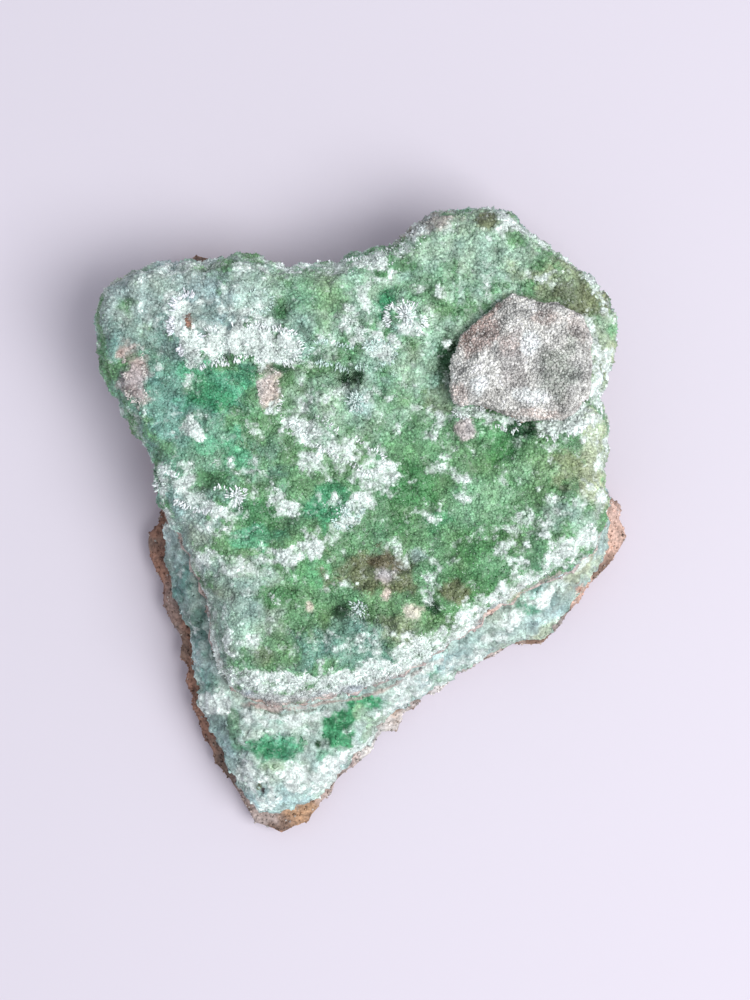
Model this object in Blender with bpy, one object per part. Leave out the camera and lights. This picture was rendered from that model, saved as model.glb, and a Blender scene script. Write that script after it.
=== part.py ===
"""A hand specimen of green smithsonite, lying on the flat broken underside of its brown host rock.

From the bottom up it is a slab of host rock, a lower crust of crystals, a thin parting of rock, a larger
upper crust of crystals, and a loose-grained block of rock seated on the upper crust. Each of them is one
plate: a closed outline, a relief above it, a relief below it, and a broken side between the two. The
contacts between them tilt and swell, and the broken sides meet in one rough face at the back. The druse is
fused into each crust as pyramids with flat faces, one for every third point of a hexagonal lattice.

Outlines and features are in millimetres, seen from above, with +X to the right and +Y away from the
tip. They are measured from a point near the middle of the slab, and centre_on_base moves the finished
specimen so that its box stands centred on the origin.
"""

import math
import random

import bpy
import numpy as np
from mathutils import Vector, noise
from mathutils.geometry import delaunay_2d_cdt

MM = 0.001

# Driving dimensions, in millimetres. First the heights of the layers and the gap between them.
HOST_TOP = 8.6
LOWER_TOP = 16.8
PARTING = 1.3
UPPER_TOP = 25.4
SEAT_HEIGHT = UPPER_TOP + 0.6
BLOCK_TOP = 31.8
GAP = 0.32

# How far the contacts between the layers rise and fall, over what length, and how much they tilt.
CONTACT_WAVE = 0.8
CONTACT_LENGTH = 23.0
CONTACT_SWELL = 0.75
SWELL_LENGTH = 8.0
HOST_TILT = 0.03
LEDGE_TILT = 0.02

# The crystals' spacing and height on the two crusts, and the spacing of the rock's facets.
DRUSE_PITCH = 2.3
UPPER_CRYSTAL = 1.35
LOWER_CRYSTAL = 1.0
SPRAY_BLADES = 7
ROCK_PITCH = 5.0

# The upper crust's broken side above the parting, and the width of the roll above it, at the back and in
# front.
RIM_BACK = 3.0
RIM_FRONT = 1.3
ROLL_BACK = 2.4
ROLL_FRONT = 7.0
TERRACE_STEP = 2.3

# The ledge in front: its drop below the parting, its slope outwards, its rim and the roll above that.
LEDGE_DROP = 0.9
LEDGE_SLOPE = 0.18
LEDGE_RIM = 2.2
LEDGE_ROLL = 3.2

# The host rock's rim past the crust, and the chipped edge of its underside.
HOST_RIM_DROP = 1.5
HOST_RIM_SLOPE = 0.35
CHIP_DEPTH = 2.6
CHIP_WIDTH = 7.5

# How far the parting lies inside the upper crust's outline at the back, and outside it in front.
SEAM_BACK = 0.7
SEAM_FRONT = 0.6

# How far the broken sides of the crusts stand out and in at the back, and the size of their steps.
BREAK_DEPTH = 1.5
BREAK_SIZE = 5.0

# The block: its flat seat's margin, its side's height, what its broken shoulder loses, and the bank
# round it.
SEAT_MARGIN = 0.8
BLOCK_SIDE = 4.7
SHOULDER_DROP = 2.0
SHOULDER_WIDTH = 4.4
COLLAR_HEIGHT = 1.9
COLLAR_REACH = 2.6

SEED = 31

# The widest line of the upper crust. It overhangs the host rock at the left lobe and along the back.
UPPER_OUTLINE = [
    (-47.1, 33.0), (-45.6, 35.8), (-41.1, 38.8), (-36.6, 40.0), (-31.5, 40.6), (-27.2, 40.4),
    (-23.3, 41.8), (-19.9, 41.4), (-16.8, 39.8), (-12.8, 39.6), (-6.3, 40.1), (-3.9, 41.5),
    (0.5, 42.5), (4.3, 43.7), (8.0, 47.6), (11.9, 48.7), (16.2, 49.5), (23.3, 48.8),
    (25.2, 46.2), (28.9, 43.2), (34.2, 39.1), (38.3, 36.0), (40.4, 32.6), (41.1, 28.6),
    (40.3, 24.7), (38.9, 19.6), (38.3, 16.5), (39.4, 12.8), (39.3, 8.5), (38.4, 3.7),
    (39.3, 0.0), (38.9, -4.3), (36.6, -8.8), (32.3, -12.2), (28.1, -14.1), (21.5, -17.4),
    (18.7, -19.9), (14.5, -23.0), (9.7, -26.4), (4.3, -29.4), (-3.4, -32.3), (-7.7, -33.0),
    (-12.2, -34.4), (-17.0, -34.4), (-21.3, -33.5), (-24.0, -31.6), (-26.4, -28.6), (-27.7, -23.8),
    (-28.2, -19.0), (-29.2, -15.3), (-30.9, -11.6), (-32.1, -7.7), (-34.5, -3.7), (-36.6, -0.5),
    (-36.9, 3.4), (-37.9, 8.0), (-42.0, 13.6), (-45.7, 20.4), (-46.9, 26.0),
]

# The lower crust shows as a ledge on the left, at the tip and on the lower right.
LOWER_OUTLINE = [
    (-36.5, -5.0), (-36.1, -10.1), (-34.4, -15.7), (-32.7, -21.0), (-31.4, -26.2), (-30.6, -33.2),
    (-29.2, -38.1), (-25.3, -45.9), (-23.2, -49.8), (-21.6, -53.2), (-19.0, -54.9), (-15.7, -53.8),
    (-12.2, -52.6), (-9.3, -51.0), (-6.5, -47.7), (-3.5, -44.0), (-0.9, -41.6), (0.9, -38.1),
    (4.4, -36.0), (8.7, -33.5), (13.1, -30.6), (18.0, -27.4), (23.6, -24.6), (29.5, -23.5),
    (31.6, -20.4), (34.7, -17.1), (37.2, -13.3), (39.6, -9.8), (40.5, -6.0), (40.0, -1.7),
    (38.4, 4.0), (36.9, 10.0), (36.2, 16.0), (37.2, 24.0), (37.8, 30.0), (35.0, 35.0),
    (29.0, 40.0), (23.0, 45.3), (14.0, 46.3), (7.0, 44.0), (2.0, 40.2), (-6.0, 37.8),
    (-14.0, 37.4), (-22.0, 38.9), (-32.0, 38.2), (-41.0, 35.8), (-44.3, 31.0), (-44.3, 24.0),
    (-42.2, 17.0), (-38.4, 10.5), (-35.8, 5.0), (-35.6, 0.0),
]

# The host rock reaches past the crusts on the left, round the tip, and as two knobs on the right.
HOST_OUTLINE = [
    (-38.6, -3.8), (-39.6, -8.2), (-39.0, -11.8), (-37.5, -15.1), (-37.2, -18.8), (-34.7, -23.1),
    (-33.4, -27.6), (-32.8, -32.0), (-31.9, -36.5), (-31.0, -40.1), (-27.9, -46.3), (-25.5, -49.5),
    (-23.5, -53.0), (-21.2, -57.2), (-16.7, -58.5), (-12.3, -56.9), (-9.8, -53.8), (-6.6, -49.8),
    (-4.1, -46.8), (-1.6, -44.4), (1.1, -41.2), (3.6, -40.7), (4.8, -37.7), (11.2, -33.1),
    (18.7, -28.3), (24.4, -25.2), (29.8, -24.9), (33.8, -19.9), (36.1, -17.8), (38.3, -14.8),
    (40.9, -11.7), (43.3, -9.3), (44.2, -6.6), (43.5, -3.4), (41.2, 0.9), (38.0, 6.0),
    (36.0, 14.0), (37.0, 24.0), (36.0, 32.0), (30.0, 37.5), (22.0, 43.8), (14.0, 44.8),
    (7.0, 42.4), (1.0, 38.6), (-7.0, 36.3), (-14.0, 36.3), (-21.0, 38.9), (-27.0, 42.0),
    (-34.0, 41.7), (-40.5, 37.4), (-42.6, 32.0), (-42.6, 25.0), (-41.4, 18.0), (-40.3, 10.8),
    (-37.6, 5.0), (-37.4, 0.0),
]

# The block of rock on the upper crust, at the upper right.
BLOCK_OUTLINE = [
    (13.3, 16.3), (13.1, 18.4), (13.2, 21.4), (13.8, 24.6), (14.5, 27.2), (15.5, 28.3),
    (18.6, 30.7), (21.7, 33.3), (23.1, 34.3), (24.6, 33.6), (26.6, 32.6), (30.0, 32.5),
    (31.8, 31.6), (33.9, 30.2), (35.2, 28.3), (35.6, 25.0), (35.7, 21.5), (35.4, 17.5),
    (34.0, 16.1), (31.0, 13.9), (29.4, 13.6), (24.4, 13.6), (22.4, 14.3), (20.0, 15.6),
    (17.8, 16.2), (14.4, 16.1),
]

# The edge of the raised back part of the upper crust: above this line the surface stands a step higher.
TERRACE_EDGE = [
    (-50.0, 25.7), (-39.7, 25.5), (-32.1, 25.3), (-28.7, 23.0), (-15.2, 23.0), (-10.1, 24.2),
    (-5.1, 21.3), (0.8, 19.6), (5.9, 18.4), (11.0, 18.8), (14.0, 20.5), (22.0, 24.0), (44.0, 30.0),
]

# Rounded rises and hollows of the upper crust: x, y, radius and height. A hollow's height is negative.
UPPER_SWELLS = [
    (-29.5, 28.0, 6.0, 1.5),
    (-19.5, 26.5, 6.5, 1.1),
    (-23.0, 36.0, 6.0, 0.8),
    (-13.0, 27.5, 5.0, 1.2),
    (5.6, 31.6, 3.4, 1.3),
    (0.0, 19.0, 3.6, 0.9),
    (-6.8, 16.0, 3.2, 0.8),
    (17.0, 38.0, 9.0, 0.8),
    (-6.0, 8.5, 7.0, 1.2),
    (-12.0, -1.0, 6.5, 1.0),
    (-23.5, 0.0, 5.0, 1.2),
    (-28.5, 11.5, 5.0, 0.8),
    (-24.0, -16.5, 6.0, 1.3),
    (-11.0, -7.5, 4.5, 0.9),
    (-2.2, -18.6, 2.8, 0.9),
    (33.0, -6.5, 7.5, 0.9),
    (26.0, 11.0, 9.0, 0.7),
    (37.0, 14.0, 4.5, 1.0),
    (8.0, -4.0, 13.0, -1.9),
    (-6.0, -17.0, 9.0, -1.3),
    (-19.0, 12.0, 11.0, -1.1),
    (20.0, -6.0, 9.0, -1.0),
]

# Small cavities between the crystals of the upper crust: x, y, radius and depth.
UPPER_PITS = [
    (-5.2, 20.4, 1.9, 4.2),
    (-2.8, 20.8, 1.3, 3.2),
    (11.6, 22.3, 2.2, 5.0),
    (24.0, 11.9, 2.9, 3.2),
    (21.6, 8.6, 2.4, 1.8),
    (8.9, -18.2, 1.6, 2.4),
    (-15.8, 31.6, 1.8, 1.7),
    (-35.0, 24.0, 2.4, 1.3),
]

# Sprays of longer crystals that radiate from one point: x, y and radius.
UPPER_SPRAYS = [
    (5.6, 31.4, 2.9),
    (-21.0, 26.2, 3.4),
    (-29.8, 27.2, 3.0),
    (-12.5, 27.4, 3.2),
    (0.2, 18.2, 2.6),
    (-6.6, 15.8, 2.6),
    (-24.2, 0.2, 3.0),
    (-2.0, -18.8, 2.6),
    (-3.4, 30.0, 2.2),
    (-9.4, -24.0, 2.8),
    (-25.5, 12.6, 2.4),
    (-12.0, -8.2, 3.2),
    (17.6, 11.2, 2.4),
    (30.5, 2.0, 2.8),
]

# Rises and hollows of the lower crust's ledge.
LOWER_SWELLS = [
    (-18.0, -45.5, 6.5, 1.3),
    (-12.0, -41.0, 6.0, -1.4),
    (-4.5, -38.0, 5.0, -1.6),
    (-7.0, -46.0, 5.0, 0.9),
    (8.0, -32.0, 5.0, 0.8),
    (24.0, -20.5, 5.0, 0.9),
    (-33.5, -16.0, 5.0, -0.8),
    (-27.0, -36.5, 4.5, -1.1),
]

# Shallow scars in the flat underside: x, y, radius and depth.
HOST_SCARS = [
    (-25.0, 23.0, 9.0, 2.2),
    (21.0, -9.0, 9.5, 2.4),
    (-17.0, -30.0, 6.0, 1.5),
    (22.0, 28.0, 7.0, 1.7),
]


def smooth_step(value):
    """0 below 0, 1 above 1, and an S curve between."""
    value = min(1.0, max(0.0, value))
    return value * value * (3.0 - 2.0 * value)


def bump(x, y, features):
    """The summed height at a place of features given as x, y, radius and height."""
    return sum(
        height * math.exp(-((x - cx) ** 2 + (y - cy) ** 2) / (0.6 * radius) ** 2)
        for cx, cy, radius, height in features
    )


def pitted(x, y, pits):
    """The depth at a place of steep-walled pits given as x, y, radius and depth."""
    return sum(
        depth * smooth_step(1.6 - math.hypot(x - cx, y - cy) / radius)
        for cx, cy, radius, depth in pits
    )


def lumpy(x, y, size, phase):
    """Smooth noise from about -1 to 1, with lumps of this size."""
    return 1.6 * noise.noise(Vector((x / size, y / size, phase)))


def smooth_loop(points, pitch):
    """A closed Catmull-Rom curve through the points, as points at about this pitch."""
    loop = []
    count = len(points)
    for i in range(count):
        before, start, end, after = (np.array(points[(i + k) % count]) for k in (-1, 0, 1, 2))
        steps = max(1, round(float(np.linalg.norm(end - start)) / pitch))
        for step in range(steps):
            t = step / steps
            place = 0.5 * (
                2.0 * start
                + (end - before) * t
                + (2.0 * before - 5.0 * start + 4.0 * end - after) * t * t
                + (3.0 * start - before - 3.0 * end + after) * t**3
            )
            loop.append((float(place[0]), float(place[1])))
    return loop


def ragged(loop, depth, size, phase):
    """The loop with a broken edge: noise of this size, and every other point drawn in a little."""
    moved = []
    for i, ((x, y), (nx, ny)) in enumerate(zip(loop, outward(loop))):
        out = depth * (lumpy(x, y, size, phase) + (0.45 if i % 2 else -0.45))
        moved.append((x + nx * out, y + ny * out))
    return moved


def outward(loop):
    """The outward unit normal at each point of a clockwise loop."""
    normals = []
    for i in range(len(loop)):
        (ax, ay), (bx, by) = loop[i - 1], loop[(i + 1) % len(loop)]
        length = math.hypot(bx - ax, by - ay)
        normals.append((-(by - ay) / length, (bx - ax) / length))
    return normals


def clockwise(loop):
    """The loop, turned round if it runs anticlockwise seen from above."""
    area = sum(
        ax * by - bx * ay for (ax, ay), (bx, by) in zip(loop, loop[1:] + loop[:1])
    )
    return loop[::-1] if area > 0 else loop


def edge_distance(loop, places):
    """The distance of each place from the loop, positive inside it and negative outside."""
    start = np.array(loop)
    end = np.roll(start, -1, axis=0)
    run = end - start
    places = np.array(places).reshape(-1, 2)
    away = places[:, None, :] - start[None, :, :]
    share = np.clip((away * run).sum(2) / (run * run).sum(1), 0.0, 1.0)
    nearest = np.linalg.norm(away - share[:, :, None] * run, axis=2).min(1)
    crosses = (start[None, :, 1] > places[:, None, 1]) != (end[None, :, 1] > places[:, None, 1])
    slope = (places[:, None, 1] - start[None, :, 1]) / np.where(run[:, 1] == 0, 1e-9, run[:, 1])
    inside = (crosses & (places[:, None, 0] < start[None, :, 0] + slope * run[:, 0])).sum(1) % 2
    return np.where(inside == 1, nearest, -nearest)


def lattice(loop, pitch, jitter, rng):
    """Jittered hexagonal points inside the loop, each with whether it is a crystal's peak."""
    xs, ys = zip(*loop)
    row = pitch * math.sqrt(3.0) / 2.0
    found = []
    for j in range(int((max(ys) - min(ys)) / row) + 1):
        for i in range(int((max(xs) - min(xs)) / pitch) + 2):
            x = min(xs) + (i + 0.5 * (j % 2)) * pitch + rng.uniform(-jitter, jitter) * pitch
            y = min(ys) + j * row + rng.uniform(-jitter, jitter) * pitch
            column = i - (j - j % 2) // 2
            found.append((x, y, (column - j) % 3 == 0))
    clear = edge_distance(loop, [(x, y) for x, y, _ in found])
    return [place for place, d in zip(found, clear) if d > 0.55 * pitch]


def filled(loop, inner):
    """Triangles over the loop's points followed by the inner ones, facing up."""
    points = [Vector(p) for p in loop + inner]
    made = delaunay_2d_cdt(points, [], [list(range(len(loop)))], 1, 1e-7)
    corners, faces, sources = made[0], made[2], made[3]
    if len(corners) != len(points):
        raise ValueError("an inner point lies on the outline or on another point")
    origin = [source[0] for source in sources]
    triangles = []
    for face in faces:
        a, b, c = (origin[k] for k in face)
        turn = (points[b] - points[a]).cross(points[c] - points[a])
        triangles.append((a, b, c) if turn > 0 else (a, c, b))
    return triangles


def plate(name, material, loop, top, bottom, side, top_points, bottom_points):
    """One closed plate of stone.

    top and bottom give the height at a place, from its x, y and distance from the outline. side gives the
    broken side's rings between the two, as shares of the height and how far each stands out. top_points and
    bottom_points are the inner places, each with a push that is added to its position.
    """
    count = len(loop)
    normals = outward(loop)
    vertices, faces = [], []

    def relief(inner, height):
        clear = edge_distance(loop, [(x, y) for x, y, _ in inner]) if inner else []
        return [
            Vector((x, y, height(x, y, d))) + push for (x, y, push), d in zip(inner, clear)
        ]

    upper = [Vector((x, y, top(x, y, 0.0))) for x, y in loop]
    lower = [Vector((x, y, bottom(x, y, 0.0))) for x, y in loop]
    vertices += upper + relief(top_points, top)
    faces += filled(loop, [(x, y) for x, y, _ in top_points])
    ring = list(range(count))
    for share, reach in side:
        start = len(vertices)
        for i, (nx, ny) in enumerate(normals):
            place = upper[i].lerp(lower[i], share)
            out = reach(i, place)
            vertices.append(place + Vector((nx * out, ny * out, 0.0)))
        under = list(range(start, start + count))
        faces += quads(ring, under)
        ring = under
    floor_loop = [(vertices[i].x, vertices[i].y) for i in ring]
    base = len(vertices)
    vertices += relief(bottom_points, bottom)
    numbers = ring + list(range(base, len(vertices)))
    for a, b, c in filled(floor_loop, [(x, y) for x, y, _ in bottom_points]):
        faces.append((numbers[a], numbers[c], numbers[b]))
    return solid(name, material, vertices, faces)


def quads(above, below):
    """Triangles between two rings of a clockwise loop, facing out."""
    found = []
    for i in range(len(above)):
        j = (i + 1) % len(above)
        if i % 2:
            found += [(above[i], above[j], below[i]), (above[j], below[j], below[i])]
        else:
            found += [(above[i], above[j], below[j]), (above[i], below[j], below[i])]
    return found


def solid(name, material, vertices, faces):
    """An object from vertices in millimetres and triangles."""
    mesh = bpy.data.meshes.new(name)
    mesh.from_pydata([v * MM for v in vertices], [], faces)
    mesh.validate()
    mesh.materials.append(material)
    made = bpy.data.objects.new(name, mesh)
    bpy.context.scene.collection.objects.link(made)
    return made


def stone_material(name, colour, roughness):
    """A plain non-metallic finish."""
    material = bpy.data.materials.new(name)
    material.use_nodes = True
    shader = material.node_tree.nodes["Principled BSDF"]
    shader.inputs["Base Color"].default_value = (*colour, 1.0)
    shader.inputs["Roughness"].default_value = roughness
    shader.inputs["Metallic"].default_value = 0.0
    return material


def host_contact(x, y):
    """The height at which the host rock meets the lower crust."""
    wave = math.sin(x / CONTACT_LENGTH + 0.6) + math.cos((y - 0.4 * x) / CONTACT_LENGTH)
    swell = math.sin((x + 0.7 * y) / SWELL_LENGTH + 2.0)
    return HOST_TOP + CONTACT_WAVE * wave + CONTACT_SWELL * swell + HOST_TILT * y


def ledge_contact(x, y):
    """The height at which the lower crust meets the parting."""
    wave = math.sin(y / CONTACT_LENGTH + 1.1) + math.cos(x / CONTACT_LENGTH + 0.4)
    swell = math.sin((y - 0.6 * x) / SWELL_LENGTH)
    return LOWER_TOP + CONTACT_WAVE * wave + CONTACT_SWELL * swell * (1.0 - frontness(y)) + LEDGE_TILT * x


def frontness(y):
    """1 where the upper crust rolls down to the ledge in front, 0 along its steep back."""
    return smooth_step((3.0 - y) / 10.0)


def terrace(x, y):
    """The step up to the raised back part of the upper crust, steep and a little ragged."""
    for (ax, ay), (bx, by) in zip(TERRACE_EDGE, TERRACE_EDGE[1:]):
        if ax <= x < bx:
            line = ay + (by - ay) * (x - ax) / (bx - ax)
            wander = 0.7 * lumpy(x, y, 3.0, 4.0)
            fade = 0.02 * (x - TERRACE_EDGE[1][0])
            return (TERRACE_STEP - fade) * smooth_step((y - line + wander) / 1.6 + 0.5)
    return 0.0


def block_seat(x, y):
    """1 under the block of rock and just round it, where the crust is flat, and 0 away from it."""
    clear = float(edge_distance(BLOCK_LOOP, [(x, y)])[0])
    return smooth_step((clear + SEAT_MARGIN + 1.3) / 1.2)


def block_clearance(x, y):
    """1 on the block's seat and so near the block that a crystal would reach it, and 0 away from it."""
    clear = float(edge_distance(BLOCK_LOOP, [(x, y)])[0])
    return smooth_step((clear + 2.3) / 1.0)


def block_collar(x, y):
    """A low bank of crystals against the front and right sides of the block."""
    clear = -float(edge_distance(BLOCK_LOOP, [(x, y)])[0])
    facing = smooth_step((19.0 - y + 0.5 * (x - 30.0)) / 8.0)
    return COLLAR_HEIGHT * facing * math.exp(-(((clear - COLLAR_REACH) / 2.0) ** 2))


def upper_top(x, y, clear):
    """The upper crust's relief without its crystals."""
    front = frontness(y)
    roll = ROLL_BACK + (ROLL_FRONT - ROLL_BACK) * front
    rim = ledge_contact(x, y) + PARTING + RIM_BACK - (RIM_BACK - RIM_FRONT) * front
    face = UPPER_TOP + bump(x, y, UPPER_SWELLS) + terrace(x, y) + block_collar(x, y)
    face += 0.55 * lumpy(x, y, 7.0, 1.0) + 0.45 * lumpy(x, y, 3.4, 2.0)
    face += 0.9 * front * math.exp(-(((clear - 0.93 * ROLL_FRONT) / 2.6) ** 2))
    seat = block_seat(x, y)
    face += (SEAT_HEIGHT - face) * seat
    face -= pitted(x, y, UPPER_PITS) * (1.0 - seat)
    share = min(1.0, max(0.0, clear / roll))
    return rim + (face - rim) * (1.0 - (1.0 - share) ** 2.2) ** 0.75


def upper_bottom(x, y, clear):
    """The upper crust's flat contact with the parting."""
    return ledge_contact(x, y) + PARTING + GAP


def lower_top(x, y, clear):
    """The ledge in front of the upper crust, and the contact under it."""
    under = ledge_contact(x, y) - GAP / 2.0
    open_air = -float(edge_distance(UPPER_LOOP, [(x, y)])[0])
    if open_air < -1.5:
        return under
    drop = LEDGE_DROP + LEDGE_SLOPE * max(0.0, open_air)
    face = under - drop + 0.8 * bump(x, y, LOWER_SWELLS) + 0.4 * lumpy(x, y, 3.6, 7.0)
    face = min(face, under - 0.6)
    rim = host_contact(x, y) + LEDGE_RIM
    share = min(1.0, max(0.0, clear / LEDGE_ROLL))
    face = rim + (face - rim) * (1.0 - (1.0 - share) ** 2.0) ** 0.7
    return under + (face - under) * smooth_step((open_air + 1.5) / 1.5)


def lower_bottom(x, y, clear):
    """The lower crust's contact with the host rock."""
    return host_contact(x, y) + GAP / 2.0


def host_top(x, y, clear):
    """The host rock's contact, and the rough rim that stands out past the crust."""
    under = host_contact(x, y) - GAP / 2.0
    shown = -float(edge_distance(LOWER_LOOP, [(x, y)])[0])
    rough = 0.5 * lumpy(x, y, 4.0, 11.0)
    rim = under - HOST_RIM_DROP + rough - HOST_RIM_SLOPE * max(0.0, shown)
    return under + (min(rim, under) - under) * smooth_step((shown + 1.2) / 1.5)


def host_bottom(x, y, clear):
    """Flat where the specimen rests, broken away towards the edge and at two shallow scars."""
    chipped = CHIP_DEPTH * (1.0 - smooth_step((clear - 0.8) / CHIP_WIDTH))
    uneven = 1.0 + 0.8 * lumpy(x, y, 6.5, 15.0)
    return max(0.0, chipped * uneven + bump(x, y, HOST_SCARS) - 0.4)


def block_top(x, y, clear):
    """The block's top: nearly flat and rough, with its back left shoulder broken away in a slope."""
    shoulder = smooth_step((y - x - 1.0) / 9.0)
    rough = 0.5 * lumpy(x, y, 4.4, 21.0) + 0.35 * lumpy(x, y, 1.7, 22.0)
    face = BLOCK_TOP + rough - 0.05 * (27.0 - x)
    rim = SEAT_HEIGHT + BLOCK_SIDE - SHOULDER_DROP * shoulder
    share = min(1.0, max(0.0, clear / (1.1 + SHOULDER_WIDTH * shoulder)))
    return rim + (face - rim) * share


def block_bottom(x, y, clear):
    """The block's flat seat on the upper crust."""
    return SEAT_HEIGHT + GAP


def druse_points(loop, top, height, bare, rng):
    """Lattice points for a crust: every third is a crystal's peak, pushed out along the surface normal."""
    found = []
    places = lattice(loop, DRUSE_PITCH, 0.16, rng)
    clear = edge_distance(loop, [(x, y) for x, y, _ in places])
    step = 0.4
    for (x, y, peak), d in zip(places, clear):
        push = Vector((0.0, 0.0, 0.0))
        covered = bare(x, y)
        if peak and covered < 1.0:
            rise_x = (top(x + step, y, d) - top(x - step, y, d)) / (2.0 * step)
            rise_y = (top(x, y + step, d) - top(x, y - step, d)) / (2.0 * step)
            normal = Vector((-rise_x, -rise_y, 1.0)).normalized()
            lean = Vector((rng.uniform(-0.5, 0.5), rng.uniform(-0.5, 0.5), 0.0))
            near_rim = smooth_step((d - 0.4) / 1.8)
            size = height * rng.uniform(0.5, 1.4) * (0.45 + 0.55 * near_rim)
            push = (normal + lean * near_rim).normalized() * size * (1.0 - covered)
        found.append((x, y, push))
    return found


def plain_points(loop, pitch, rng):
    """Lattice points with no crystals on them."""
    return [(x, y, Vector((0.0, 0.0, 0.0))) for x, y, _ in lattice(loop, pitch, 0.22, rng)]


def with_sprays(points, sprays, top_loop):
    """The points with a rosette of leaning blades in place of those under each spray."""
    clear_of = edge_distance(top_loop, [(x, y) for x, y, _ in sprays])
    kept = [
        point
        for point in points
        if all(math.hypot(point[0] - x, point[1] - y) > 1.25 * r for x, y, r in sprays)
    ]
    for (x, y, radius), clear in zip(sprays, clear_of):
        if clear < 1.5 * radius:
            continue
        kept.append((x, y, Vector((0.0, 0.0, 0.50 * radius))))
        for k in range(2 * SPRAY_BLADES):
            turn = math.pi * k / SPRAY_BLADES
            way = Vector((math.cos(turn), math.sin(turn), 0.0))
            blade = k % 2 == 0
            reach = (0.62 if blade else 0.42) * radius
            lift = 0.62 * radius if blade else 0.12 * radius
            push = way * (0.38 * radius if blade else 0.0) + Vector((0.0, 0.0, lift))
            kept.append((x + way.x * reach, y + way.y * reach, push))
    return kept


def with_seat(points):
    """The points with a flat ring of their own just outside the block, so that no facet cuts its corner."""
    ring = inset(BLOCK_LOOP, -SEAT_MARGIN)
    off_ring = edge_distance(ring, [(x, y) for x, y, _ in points])
    kept = [point for point, clear in zip(points, off_ring) if abs(clear) > 0.35 * DRUSE_PITCH]
    return kept + [(x, y, Vector((0.0, 0.0, 0.0))) for x, y in ring]


def ribbed(depth, phase):
    """How far a broken side stands out: columns of crystals, worn between."""
    return lambda i, place: depth * (
        0.6 * lumpy(place.x, place.y, 2.6, phase) + (0.3 if i % 2 else -0.3)
    )


def undercut(amount):
    """A side that draws in by this much, less where it rolls down in front."""
    return lambda i, place: -amount * (1.0 - 0.6 * frontness(place.y))


def broken(lean, phase):
    """How far a broken side stands out: steps and hollows that also change with height, calm in front."""
    return lambda i, place: (lean + BREAK_DEPTH * lumpy(
        place.x + 1.6 * place.z, place.y - 1.3 * place.z, BREAK_SIZE, phase
    )) * (1.0 - 0.75 * frontness(place.y)) + (0.25 if i % 2 else -0.25)


def upper_crust(material):
    """The large crust of crystals that carries the block."""
    rng = random.Random(SEED)
    points = druse_points(UPPER_LOOP, upper_top, UPPER_CRYSTAL, block_clearance, rng)
    points = with_seat(with_sprays(points, UPPER_SPRAYS, UPPER_LOOP))
    side = [(0.3, ribbed(0.9, 31.0)), (0.68, broken(-0.3, 33.0)), (1.0, undercut(0.5))]
    floor = plain_points(inset(UPPER_LOOP, 2.4), ROCK_PITCH * 1.3, rng)
    return plate(
        "upper_crust", material, UPPER_LOOP, upper_top, upper_bottom, side, points, floor
    )


def lower_crust(material):
    """The ledge of crystals under the upper crust."""
    rng = random.Random(SEED + 1)

    def hidden(x, y):
        """1 under the upper crust, where there are no crystals."""
        return smooth_step((float(edge_distance(UPPER_LOOP, [(x, y)])[0]) + 2.8) / 1.8)

    points = [
        point
        for point in druse_points(LOWER_LOOP, lower_top, LOWER_CRYSTAL, hidden, rng)
        if hidden(point[0], point[1]) < 1.0
    ]
    covered = [p for p in plain_points(LOWER_LOOP, ROCK_PITCH, rng) if hidden(p[0], p[1]) >= 1.0]
    side = [
        (0.2, broken(0.9, 41.0)),
        (0.5, broken(0.5, 42.0)),
        (0.8, broken(0.7, 43.0)),
        (1.0, undercut(0.1)),
    ]
    floor = plain_points(inset(LOWER_LOOP, 1.6), ROCK_PITCH * 1.3, rng)
    return plate(
        "lower_crust", material, LOWER_LOOP, lower_top, lower_bottom, side, points + covered, floor
    )


def parting(material):
    """The thin layer of rock between the two crusts. Its edge shows as a seam in front."""
    rng = random.Random(SEED + 2)
    loop = [
        (x - nx * reach, y - ny * reach)
        for (x, y), (nx, ny) in zip(UPPER_LOOP, outward(UPPER_LOOP))
        for reach in [SEAM_BACK - (SEAM_BACK + SEAM_FRONT) * frontness(y) + 0.5 * lumpy(x, y, 4.0, 51.0)]
    ]
    return plate(
        "rock_parting",
        material,
        loop,
        lambda x, y, clear: ledge_contact(x, y) + PARTING,
        lambda x, y, clear: ledge_contact(x, y) + GAP / 2.0,
        [(0.5, lambda i, place: 0.4 if i % 2 else 0.0), (1.0, lambda i, place: -0.2)],
        plain_points(loop, ROCK_PITCH * 1.3, rng),
        plain_points(inset(loop, 0.8), ROCK_PITCH * 1.3, rng),
    )


def host_rock(material):
    """The brown rock that the crusts grew on, broken off flat below."""
    rng = random.Random(SEED + 3)
    side = [
        (0.22, lambda i, place: 0.9 * lumpy(place.x, place.y, 3.2, 61.0) + 0.25),
        (0.45, broken(0.3, 64.0)),
        (0.7, lambda i, place: 1.1 * lumpy(place.x, place.y, 4.0, 62.0) - 0.7),
        (1.0, lambda i, place: -2.4 - 0.8 * lumpy(place.x, place.y, 5.0, 63.0)),
    ]
    points = plain_points(HOST_LOOP, ROCK_PITCH * 0.8, rng)
    floor = plain_points(inset(HOST_LOOP, 4.2), ROCK_PITCH, rng)
    return plate("host_rock", material, HOST_LOOP, host_top, host_bottom, side, points, floor)


def rock_block(material):
    """The loose-grained block of rock on the upper crust."""
    rng = random.Random(SEED + 4)
    side = [
        (0.4, lambda i, place: 0.6 * lumpy(place.x, place.y, 2.0, 71.0) + (0.4 if i % 2 else 0.0)),
        (1.0, lambda i, place: -0.5),
    ]
    points = plain_points(BLOCK_LOOP, 0.75 * DRUSE_PITCH, rng)
    floor = plain_points(inset(BLOCK_LOOP, 1.2), ROCK_PITCH, rng)
    return plate("rock_block", material, BLOCK_LOOP, block_top, block_bottom, side, points, floor)


def inset(loop, amount):
    """The loop drawn in along its normals."""
    return [(x - nx * amount, y - ny * amount) for (x, y), (nx, ny) in zip(loop, outward(loop))]


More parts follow.
